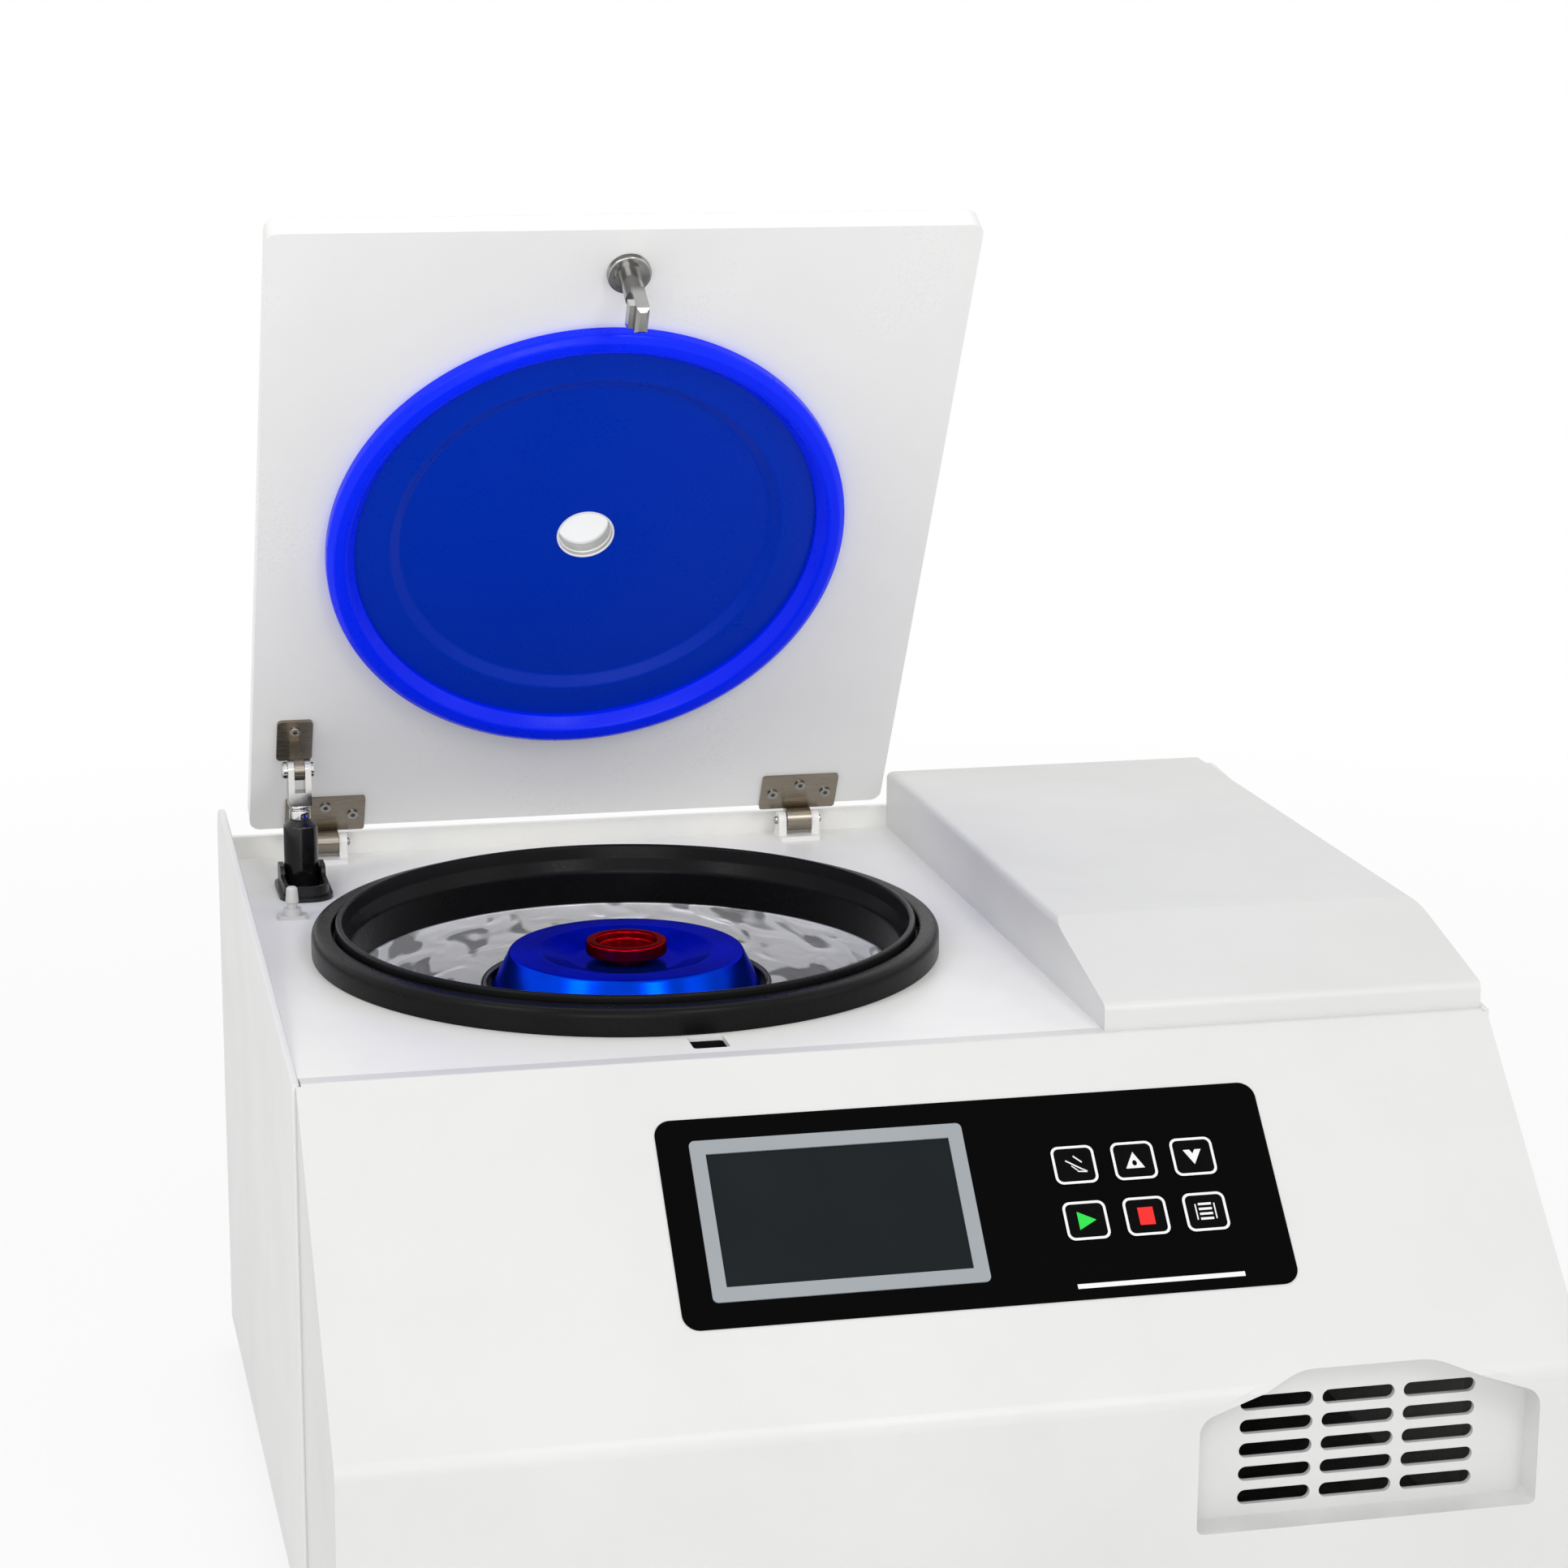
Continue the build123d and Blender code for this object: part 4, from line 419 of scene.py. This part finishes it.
def anodised(name, colour, deep, gloss, centre):
    """Dyed aluminium with fine turning marks: noise read along the distance from the axis."""
    finish = Finish(name)
    offset = finish.stretch((1, 1, 1), shift=tuple(-np.array(centre)))
    parts = finish.node("ShaderNodeSeparateXYZ", None, offset)
    away, rise = parts.beside("Y"), parts.beside("Z")
    distance = parts.maths("SQRT", parts * parts + away * away)
    grooves = finish.node("ShaderNodeCombineXYZ", None, distance * grooves_per_metre,
                          rise * grooves_per_metre, 0.0)
    marks = finish.noise(1.0, 2.0, at=grooves)
    cloud = finish.noise(30.0, 3.0)
    finish.set(Base_Color=finish.between(finish.window(cloud, 0.35, 0.7), colour + (1,), deep + (1,)),
               Roughness=finish.window(marks, 0.3, 0.7, gloss - 0.05, gloss + 0.06), Metallic=0.9)
    finish.shader.inputs["Specular IOR Level"].default_value = 0.1
    finish.shader.inputs["Specular Tint"].default_value = (*colour, 1)
    finish.height(marks, 0.000002)
    return finish


cap_blue = anodised("cap_blue", colour=(0.0, 0.050, 0.74), deep=(0.0, 0.032, 0.46), gloss=0.22,
                    centre=chamber_centre)
knob_red = anodised("knob_red", colour=(0.42, 0.001, 0.010), deep=(0.22, 0.0005, 0.006), gloss=0.20,
                    centre=chamber_centre)
print("colour finishes ready")

# %% [markdown]
# ## Glass, the display and printed ink
# The display is dark glass over a grey panel, with a very slight grain. Printed symbols are ink a
# tenth of a millimetre thick, so they are plain in colour with a soft, uneven gloss.

# %% Glass and ink
display = Finish("display")
cloudy = display.noise(18.0, 2.0)
dots = display.noise(2600.0, 1.0)
display.set(Base_Color=display.between(cloudy, (0.009, 0.011, 0.012, 1), (0.014, 0.017, 0.019, 1)),
            Roughness=display.window(dots, 0.3, 0.7, 0.10, 0.16))
display.shader.inputs["Specular IOR Level"].default_value = 0.06
panel_gloss = Finish("panel_gloss")
smudge = panel_gloss.noise(12.0, 5.0, 0.6)
panel_tone = panel_gloss.between(smudge, (0.0005, 0.0005, 0.0006, 1), (0.0018, 0.0018, 0.002, 1))
panel_gloss.set(Base_Color=panel_tone, Roughness=panel_gloss.window(smudge, 0.35, 0.7, 0.10, 0.22))
panel_gloss.shader.inputs["Specular IOR Level"].default_value = 0.03
key_gloss = Finish("key_gloss")
touch = key_gloss.noise(160.0, 3.0, 0.6)
key_gloss.set(Base_Color=key_gloss.between(touch, (0.001, 0.001, 0.001, 1), (0.003, 0.003, 0.0035, 1)),
              Roughness=key_gloss.window(touch, 0.35, 0.7, 0.14, 0.26))
key_gloss.shader.inputs["Specular IOR Level"].default_value = 0.04


def ink(name, colour):
    """Printed ink: one colour with a slightly uneven gloss."""
    finish = Finish(name)
    grain = finish.noise(1500.0, 2.0)
    dark = tuple(0.9 * part for part in colour)
    finish.set(Base_Color=finish.between(grain, colour + (1,), dark + (1,)),
               Roughness=finish.window(grain, 0.3, 0.7, 0.40, 0.52))
    return finish


white_ink = ink("white_ink", (0.86, 0.86, 0.85))
green_ink = ink("green_ink", (0.0, 0.70, 0.05))
red_ink = ink("red_ink", (0.90, 0.0, 0.0))
# The next ink is not print: it is painted shade for the screw heads' sockets.
socket_painted_shade = ink("socket_painted_shade", (0.035, 0.033, 0.030))

window_glass = Finish("window_glass")
haze = window_glass.noise(60.0, 3.0)
window_glass.set(Base_Color=window_glass.between(haze, (0.86, 0.88, 0.90, 1), (0.78, 0.81, 0.84, 1)),
                 Roughness=window_glass.window(haze, 0.3, 0.7, 0.04, 0.12), Alpha=0.12)
window_glass.shader.inputs["Specular IOR Level"].default_value = 0.2

# %% [markdown]
# ## Dress the solid pieces
# Pieces whose solid already has the right shape only get their finish.

# %% Which finish goes on which solid
dress = {
    powder_coat: ["left_side_panel", "right_side_panel"],
    deck_coat_painted_light: ["rear_panel", "deck_plate", "hinge_bracket_left", "hinge_bracket_right"],
    cover_plastic: ["front_cover", "deck_cover", "intake_grille"],
    lid_coat: ["lid_shell", "lid_inner_panel"],
    white_trim: ["sensor_guide", "sensor_pin", "sight_tube"],
    zinc_sheet: ["base_tray", "spring_anchor"],
    feet_rubber: ["rubber_feet", "motor_dampers"],
    panel_gloss: ["control_plate"],
    bezel_grey: ["screen_bezel"],
    display: ["screen_glass"],
    key_gloss: ["key_pulse", "key_up", "key_down", "key_start", "key_stop", "key_menu"],
    board_green: ["control_board"],
    soft_black: ["chamber_gasket"],
    rippled_steel: ["chamber_bowl"],
    copper_coil: ["evaporator_jacket"],
    foam_cream: ["insulation_sleeve", "lid_foam"],
    cast_alloy: ["motor_housing"],
    bright_steel: ["hinge_pins", "drive_spindle", "striker_flange", "striker_hook", "lid_screws",
                   "lock_latch"],
    leaf_steel: ["hinge_leaf_left", "hinge_leaf_right", "spring_bracket"],
    chrome: ["spring_bolt", "spring_clevis", "spring_rod"],
    satin_black: ["spring_cylinder", "rotor_body"],
    black_plastic: ["spring_boot", "lock_housing", "power_inlet", "power_rocker", "fan_rotor"],
    black_enamel: ["compressor"],
    fin_alloy: ["condenser"],
    cap_blue: ["rotor_lid"],
    knob_red: ["rotor_knob"],
    seal_silicone: ["lid_seal"],
    liner_enamel: ["liner_disc"],
    window_glass: ["sight_window"],
}
dressed = 0
for finish, names in dress.items():
    for name in names:
        solid = frame["nodes"][name]
        solid.data.materials.clear()
        solid.data.materials.append(finish.material)
        dressed += 1
print("dressed", dressed, "of", len(frame["nodes"]))


def wear(piece, finish, body, node=None):
    """Gives a new piece its finish and the body it rides on, and hides the solid it stands for."""
    piece.data.materials.append(finish.material)
    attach(piece, body)
    if node:
        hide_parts(node)


# %% [markdown]
# ## The gasket and the bowl
# The gasket is one rubber ring with two rims: a broad outer band that lies on the deck, and a
# taller, thinner inner rim that the lid's seal drops inside. From that rim the rubber slopes in
# like a funnel, and its wall hangs down to the steel.

# %% Gasket
gasket_corners = [(182, 0), (182, 15.5), (170.2, 15.5), (169.4, 9), (168.2, 9), (168, 19), (164.5, 19),
                  (163, 11), (159.5, 3), (159.5, -17), (165, -17), (165, 0)]
gasket_radii = [0.8, 6.5, 2.2, 0.6, 0.6, 1.6, 1.6, 7.0, 9.0, 0.5, 0.5, 0.5]
gasket = turned("gasket_ring", gasket_corners, gasket_radii, chamber_centre, upright, steps=9, turns=192)
wear(gasket, soft_black, "casing", "chamber_gasket")
print("gasket faces", len(gasket.data.polygons))

# %% Bowl
bowl_corners = [(165, -17), (165, -18.5), (159.5, -18.5), (159.5, -151.5), (16, -151.5), (16, -150),
                (158, -150), (158, -17)]
bowl_radii = [0.3, 0.3, 0.5, 31.5, 0.3, 0.3, 30.0, 0.5]
bowl = turned("bowl_skin", bowl_corners, bowl_radii, chamber_centre, upright, steps=14, turns=192)
wear(bowl, rippled_steel, "casing", "chamber_bowl")

# %% [markdown]
# ## The rotor's lid and knob
# The cap is turned from bar: a dished top, a rim, and a flared skirt. The knob is a thick red ring
# on a stem, hollow so that a finger can spin it.

# %% Rotor cap
cap_corners = [(11.55, -8), (32, -8), (51, -2), (68, -2), (78.8, -24), (78.8, -27), (76.3, -27),
               (65.5, -4.5), (52.25, -4.5), (33.25, -10.5), (11.55, -10.5)]
cap_radii = [0.3, 20.0, 14.0, 2.5, 1.0, 0.3, 0.3, 1.0, 1.0, 5.0, 0.3]
cap = turned("cap_shell", cap_corners, cap_radii, chamber_centre, upright, steps=9, turns=160)
wear(cap, cap_blue, "rotor_cap", "rotor_lid")

# %% Knob
knob_corners = [(5.05, -13.8), (14, -13.8), (14, -10.8), (11.5, -10.8), (11.5, -4), (23.5, -4), (23.5, 4),
                (17.5, 4), (17.5, -1.5), (0.01, -1.5), (0.01, -5.7), (5.05, -5.7)]
knob_radii = [0.3, 0.5, 0.5, 0.6, 1.2, 1.5, 1.6, 1.6, 2.0, 0.001, 0.001, 0.3]
knob = turned("knob_ring", knob_corners, knob_radii, chamber_centre, upright, steps=8, turns=128)
wear(knob, knob_red, "cap_knob", "rotor_knob")
print("knob faces", len(knob.data.polygons))

# %% [markdown]
# ## The lid's lining
# The disc is a pressed blue sheet with a shallow step, and the bright seal is a silicone ring with a rounded
# face. The sight port is a white tube through the lid; its inside is painted grey as shade, with painted
# highlights on its front rim and on the step inside.

# %% Seal and lining disc
seal_corners = [(157, 0), (157, 7), (153, 10), (146, 10), (140, 3), (140, 0)]
seal_radii = [0.5, 3.0, 3.0, 4.0, 1.5, 0.4]
seal = turned("seal_ring", seal_corners, seal_radii, seal_centre, out_of_lid, steps=8, turns=192)
wear(seal, seal_silicone, "lid", "lid_seal")
disc_corners = [(150, 0), (119, 0), (112, -5), (17.6, -5), (17.6, -7), (112, -7), (119, -2), (150, -2)]
disc_radii = [0.2, 4.0, 4.0, 0.2, 0.2, 4.0, 4.0, 0.2]
disc = turned("liner_sheet", disc_corners, disc_radii, seal_centre, out_of_lid,
              steps=8, turns=192, sharp=60)
wear(disc, liner_enamel, "lid", "liner_disc")

# %% Sight port
port_white = Finish("port_white")
step_depth = 0.0081
offset = port_white.stretch((1, 1, 1), shift=tuple(-seal_centre))
parts = port_white.node("ShaderNodeSeparateXYZ", None, offset)
height_out = parts.beside("Y") * float(out_of_lid[1]) + parts.beside("Z") * float(out_of_lid[2])
# Painted highlights: a pale band at the tube's front edge and a pale line at its inner step; elsewhere the
# white tube is painted a grey shade.
front_edge_highlight = port_white.window(height_out, -0.0055, -0.0051)
from_step = height_out + step_depth
step_highlight = port_white.window(from_step.maths("ABSOLUTE", from_step), 0.0002, 0.0004, 1.0, 0.0)
pale = front_edge_highlight.maths("MAXIMUM", front_edge_highlight, step_highlight)
cloud = port_white.noise(120.0, 3.0)
shade = port_white.between(cloud, (0.34, 0.34, 0.335, 1), (0.50, 0.50, 0.49, 1))
port_white.set(Base_Color=port_white.between(pale, shade, (0.92, 0.92, 0.91, 1)),
               Roughness=port_white.window(cloud, 0.3, 0.7, 0.25, 0.38))
tube_corners = [(17.5, -4.6), (16.4, -4.6), (16.2, -8.0), (15.7, -8.3), (15.7, -14.9), (20.9, -14.9),
                (20.9, -7.1), (17.5, -7.1)]
tube_radii = [0.3, 0.3, 0.1, 0.1, 0.2, 0.2, 0.2, 0.2]
tube = turned("port_tube", tube_corners, tube_radii, seal_centre, out_of_lid, steps=4, turns=128)
wear(tube, port_white, "lid", "sight_tube")
print("port faces", len(tube.data.polygons))

# %% [markdown]
# ## The gas spring and the sensor pin
# The cylinder is a drawn tube with a rolled shoulder, so it is turned here with enough steps to
# look round. A polished nut joins it to the fork above, and the lid's sensor has a tapered pin.

# %% Gas spring and sensor
joints = {joint["name"]: joint for joint in frame["record"]["behaviour"]["joints"]}
spring_pin = np.array(joints["spring_swing"]["pos_m"])
spring_up = np.array(joints["spring_stroke"]["axis"])
cylinder_corners = [(0.01, -30.5), (6.2, -30.5), (10.5, -34.5), (10.5, -216.5), (4.05, -216.5),
                    (4.05, -206.5), (8.7, -206.5), (8.7, -35.5), (0.01, -35.5)]
cylinder_radii = [0.001, 0.8, 1.6, 1.5, 0.3, 0.3, 0.3, 0.3, 0.001]
cylinder = turned("spring_tube", cylinder_corners, cylinder_radii, spring_pin, spring_up, steps=6, turns=96)
wear(cylinder, satin_black, "spring_barrel", "spring_cylinder")
nut_corners = [(5.25, -30.4), (6.7, -30.4), (6.7, -25.0), (5.8, -24.6), (5.8, -23.9), (6.5, -23.5),
               (6.5, -21.7), (5.25, -21.7)]
nut_radii = [0.2, 0.4, 0.4, 0.2, 0.2, 0.4, 0.4, 0.2]
nut = turned("spring_nut", nut_corners, nut_radii, spring_pin, spring_up, steps=4, turns=96)
wear(nut, chrome, "spring_barrel")
sensor_foot = np.array([-0.297, 0.1595, deck_height])
pin_corners = [(0.01, -9.8), (3.0, -9.8), (3.0, 9.6), (4.0, 10.0), (3.3, 18.4), (2.2, 19.5), (0.01, 19.5)]
pin_radii = [0.001, 0.3, 0.3, 0.5, 0.8, 0.8, 0.001]
pin = turned("sensor_tip", pin_corners, pin_radii, sensor_foot, upright, steps=4, turns=64)
wear(pin, white_trim, "lid_sensor", "sensor_pin")

# %% [markdown]
# ## Printed rims and symbols
# Each key carries a white rounded rim and a symbol. A rim is a flat ring between two rounded
# rectangles, and a symbol is a flat outline, both laid a tenth of a millimetre over the key.

# %% Helpers for flat prints
def slope_point(points, lift):
    """Points given as (from the left side, down the slope), in millimetres, placed on the slope."""
    points = np.array(points, float) * millimetre
    return (slope_corner + points[..., 0:1] * across + points[..., 1:2] * down_slope
            + out_of_slope * lift * millimetre)


def rounded_box(width, height, corner, steps=8):
    """The outline of a rectangle whose corners are quarter circles of one radius."""
    angle = np.linspace(0, np.pi / 2, steps)
    quarter = np.stack([np.cos(angle), np.sin(angle)], 1) * corner
    turns = [np.array([[1, 0], [0, 1]]), np.array([[0, -1], [1, 0]]), np.array([[-1, 0], [0, -1]]),
             np.array([[0, 1], [-1, 0]])]
    shift = np.array([[1, 1], [-1, 1], [-1, -1], [1, -1]]) * (np.array([width, height]) / 2 - corner)
    return np.concatenate([quarter @ turn.T + move for turn, move in zip(turns, shift)])


def flat_ring(name, outer, inner, centre, lift, thick=0.08):
    """A closed ring with a square section: outer top, inner top, inner bottom, outer bottom."""
    outer, inner = np.array(outer) + centre, np.array(inner) + centre
    rows = [slope_point(outer, lift + thick), slope_point(inner, lift + thick), slope_point(inner, lift),
            slope_point(outer, lift)]
    piece = grid_mesh(name, np.stack(rows, 1))
    sharpen(piece, 30)
    return piece


def lid_point(points, lift):
    """Points given as (across the lid, up from its hinge edge), in millimetres, placed on the lid."""
    points = np.array(points, float) * millimetre
    return (lid_corner + points[..., 0:1] * across + points[..., 1:2] * along_lid
            + out_of_lid * lift * millimetre)


def flat_shape(name, outlines, centre, lift, thick=0.08, place=slope_point):
    """Closed plates, one for each outline: a top and a bottom face joined by a band of quads."""
    mesh = bpy.data.meshes.new(name)
    points, faces, count = [], [], 0
    for outline in outlines:
        outline = np.array(outline, float) + centre
        size = len(outline)
        points.append(np.concatenate([place(outline, lift + thick), place(outline, lift)]))
        here = count + np.arange(size)
        onward = count + (np.arange(size) + 1) % size
        faces += [here.tolist(), (here[::-1] + size).tolist()]
        faces += np.stack([onward, here, here + size, onward + size], 1).tolist()
        count += 2 * size
    mesh.from_pydata(np.concatenate(points).tolist(), [], faces)
    work = bmesh.new()
    work.from_mesh(mesh)
    bmesh.ops.recalc_face_normals(work, faces=work.faces)
    work.to_mesh(mesh)
    work.free()
    piece = bpy.data.objects.new(name, mesh)
    bpy.context.collection.objects.link(piece)
    return piece


def stroke(start, end, width):
    """A thin slanted bar from one point to another."""
    start, end = np.array(start, float), np.array(end, float)
    along = (end - start) / np.linalg.norm(end - start)
    side = np.array([-along[1], along[0]]) * width / 2
    return [start + side, end + side, end - side, start - side]


# %% Rims and symbols on the keys
key_top = 0.9
plate_top = 0.5
rim_outline = rounded_box(23.4, 21.9, 4.2)
rim_inside = rounded_box(20.6, 19.1, 3.0)
key_places = {"pulse": (403.0, 76.7), "up": (435.8, 76.7), "down": (468.6, 76.7),
              "start": (403.0, 108.9), "stop": (435.8, 108.9), "menu": (468.6, 108.9)}
for key, place in key_places.items():
    rim = flat_ring("rim_" + key, rim_outline, rim_inside, np.array(place), key_top)
    wear(rim, white_ink, key + "_key")
symbols = {
    "pulse": [stroke((-4.6, -2.6), (3.4, 2.6), 0.8), stroke((0.0, -5.0), (4.2, -1.2), 0.8),
              stroke((-1.8, 0.6), (1.2, 3.4), 0.6), stroke((1.0, 3.9), (6.2, 4.4), 0.7),
              stroke((3.4, 2.6), (6.3, 4.2), 0.7)],
    "down": [[(-5, -4), (-1.4, -4), (0, -1.6), (1.4, -4), (5, -4), (0, 4.6)]],
    "start": [[(-4.4, -5.2), (5.4, 0), (-4.4, 5.2)]],
    "stop": [[(-4.2, -5.0), (4.2, -5.0), (4.2, 5.0), (-4.2, 5.0)]],
    "menu": [stroke((-3.6, height), (3.6, height), 1.3) for height in (-4.4, -1.6, 1.2, 4.0)]
            + [stroke((-5.2, -4.6), (-5.2, 4.4), 0.7), stroke((5.2, -4.6), (5.2, 4.4), 0.7)],
}
symbol_ink = {"start": green_ink, "stop": red_ink}
for key, outlines in symbols.items():
    symbol = flat_shape("symbol_" + key, outlines, np.array(key_places[key]), key_top)
    wear(symbol, symbol_ink.get(key, white_ink), key + "_key")
triangle_steps = np.linspace(0, 1, 9)[:-1, None]
tips = np.array([(0, -5.0), (5.2, 4.4), (-5.2, 4.4)])
edge = np.concatenate([tips[i] + (tips[(i + 1) % 3] - tips[i]) * triangle_steps for i in range(3)])
around = np.arctan2(edge[:, 1] - 1.4, edge[:, 0])
hole = np.stack([1.3 * np.cos(around), 1.4 + 1.6 * np.sin(around)], 1)
arrow = flat_ring("symbol_up", edge, hole, np.array(key_places["up"]), key_top)
wear(arrow, white_ink, "up_key")

bar_outline = [(391, 144.2), (482, 144.2), (482, 146.8), (391, 146.8)]
bar = flat_shape("plate_line", [bar_outline], np.zeros(2), plate_top)
wear(bar, white_ink, "casing")
print("prints made", 2 * len(key_places) + 1)

# %% Screw heads
leaf_middles = (47.0, 354.0)
screw_spread = 17.4
outer_screw_height, middle_screw_height = 11.5, 18.5
bracket_screw = (26.0, 84.0)
leaf_screw_top, bracket_screw_top = 3.2, 3.4
socket_radius = 1.55
screw_places = [(middle + side * screw_spread, outer_screw_height if side else middle_screw_height)
                for middle in leaf_middles for side in (-1, 0, 1)]
angle = np.linspace(0, 2 * np.pi, 6, endpoint=False)
hexagon = np.stack([np.cos(angle), np.sin(angle)], 1) * socket_radius
# The dark hexagons are flat plates laid on the screw heads as painted shade for their sockets.
socket_shades = flat_shape("screw_socket_shades", [hexagon + place for place in screw_places], np.zeros(2),
                     leaf_screw_top, place=lid_point)
wear(socket_shades, socket_painted_shade, "lid")
top_socket_shade = flat_shape("bracket_socket_shade", [hexagon + bracket_screw], np.zeros(2), bracket_screw_top,
                        place=lid_point)
wear(top_socket_shade, socket_painted_shade, "lid")
print("socket_shades", len(screw_places) + 1)

# %% [markdown]
# ## Floor, background and light
# The machine stands on a pale floor that turns white where the camera sees it directly, while the
# floor still takes the machine's shadow. Soft boxes high at the left and right draw bright streaks
# on the cap, a low one near the camera lights the chamber and the lid, and two more fill in.

# %% Floor
def floor_finish():
    finish = Finish("pale_floor")
    grain = finish.noise(3.0, 2.0)
    finish.set(Base_Color=finish.between(grain, (0.86, 0.86, 0.86, 1), (0.88, 0.88, 0.88, 1)),
               Roughness=finish.window(grain, 0.3, 0.7, 0.55, 0.65))
    rays = finish.node("ShaderNodeLightPath")
    parts = finish.node("ShaderNodeSeparateXYZ", None, finish.place())
    along = parts.beside("Y")
    away = finish.window(parts.maths("SQRT", parts * parts + along * along), 0.5, 2.2, 0.80, 1.0)
    seen = rays
    for kind in ("Is Glossy Ray", "Is Transmission Ray"):
        seen = seen.maths("MAXIMUM", seen, rays.beside(kind))
    glow = finish.node("ShaderNodeEmission")
    glow.socket.node.inputs["Color"].default_value = (1, 1, 1, 1)
    matte = Wire(finish, finish.shader.outputs[0])
    mixed = finish.node("ShaderNodeMixShader", None, seen * away, matte, glow)
    output = finish.tree.nodes["Material Output"]
    finish.tree.links.new(mixed.socket, output.inputs["Surface"])
    return finish


bpy.ops.mesh.primitive_plane_add(size=14, location=(0, 0, 0))
floor = bpy.context.object
floor.name = "floor_sheet"
floor.data.materials.append(floor_finish().material)

# %% World
room_level = 0.64
seen_level = 1.0
world = bpy.data.worlds.new("studio")
bpy.context.scene.world = world
world.use_nodes = True
sky = world.node_tree
background = sky.nodes["Background"]
rays = sky.nodes.new("ShaderNodeLightPath")
seen = sky.nodes.new("ShaderNodeMath")
seen.operation = "MAXIMUM"
also = sky.nodes.new("ShaderNodeMath")
also.operation = "MAXIMUM"
sky.links.new(rays.outputs["Is Camera Ray"], seen.inputs[0])
sky.links.new(rays.outputs["Is Transmission Ray"], seen.inputs[1])
sky.links.new(seen.outputs[0], also.inputs[0])
sky.links.new(rays.outputs["Is Glossy Ray"], also.inputs[1])
level = sky.nodes.new("ShaderNodeMapRange")
sky.links.new(also.outputs[0], level.inputs["Value"])
level.inputs["To Min"].default_value = room_level
level.inputs["To Max"].default_value = seen_level
sky.links.new(level.outputs[0], background.inputs["Strength"])
background.inputs["Color"].default_value = (1, 1, 1, 1)


# %% Lamps
def lamp(name, place, aim, width, height, power):
    """A rectangular soft box at a place, facing the point it is aimed at."""
    light = bpy.data.lights.new(name, "AREA")
    light.shape = "RECTANGLE"
    light.size, light.size_y, light.energy = width, height, power
    holder = bpy.data.objects.new(name, light)
    bpy.context.collection.objects.link(holder)
    direction = np.array(aim) - np.array(place)
    holder.location = place
    holder.rotation_euler = Vector(direction).to_track_quat("-Z", "Y").to_euler()


lamp("key_box", (-1.94, -0.99, 2.06), (0.0, 0.0, 0.3), 0.7, 1.2, 12.0)
lamp("right_box", (0.60, -2.09, 2.06), (0.0, 0.0, 0.3), 0.6, 0.9, 12.0)
lamp("front_box", (-0.8, -2.8, 0.97), (-0.05, 0.0, 0.35), 1.6, 0.9, 16.0)
lamp("side_box", (1.9, -1.1, 1.3), (0.0, 0.0, 0.35), 0.9, 1.3, 3.0)
lamp("top_box", (-0.1, 0.5, 2.2), (-0.05, 0.0, 0.3), 1.4, 1.0, 5.0)

# %% [markdown]
# ## Camera
# The photo was taken with a long lens from the front left, a little above the deck. The place,
# turn and lens below come from fitting the solid's corners to the same corners in the photo.

# %% Camera
camera_data = bpy.data.cameras.new("view")
camera = bpy.data.objects.new("view", camera_data)
bpy.context.collection.objects.link(camera)
camera_place = (-0.4914, -1.9793, 0.9135)
lens_length = 84.7264
turn, lift, roll = math.radians(-13.0388), math.radians(13.2127), math.radians(0.3278)
back = np.array([math.sin(turn) * math.cos(lift), -math.cos(turn) * math.cos(lift), math.sin(lift)])
right = np.cross(-back, [0, 0, 1.0])
right = right / np.linalg.norm(right)
upward = np.cross(right, -back)
right_rolled = math.cos(roll) * right + math.sin(roll) * upward
up_rolled = -math.sin(roll) * right + math.cos(roll) * upward
axes = Matrix([list(row) for row in np.stack([right_rolled, up_rolled, back], 1)])
camera.matrix_world = Matrix.Translation(camera_place) @ axes.to_4x4()
camera_data.lens = lens_length
camera_data.clip_end = 50
bpy.context.scene.camera = camera
bpy.context.scene.view_settings.view_transform = "Standard"
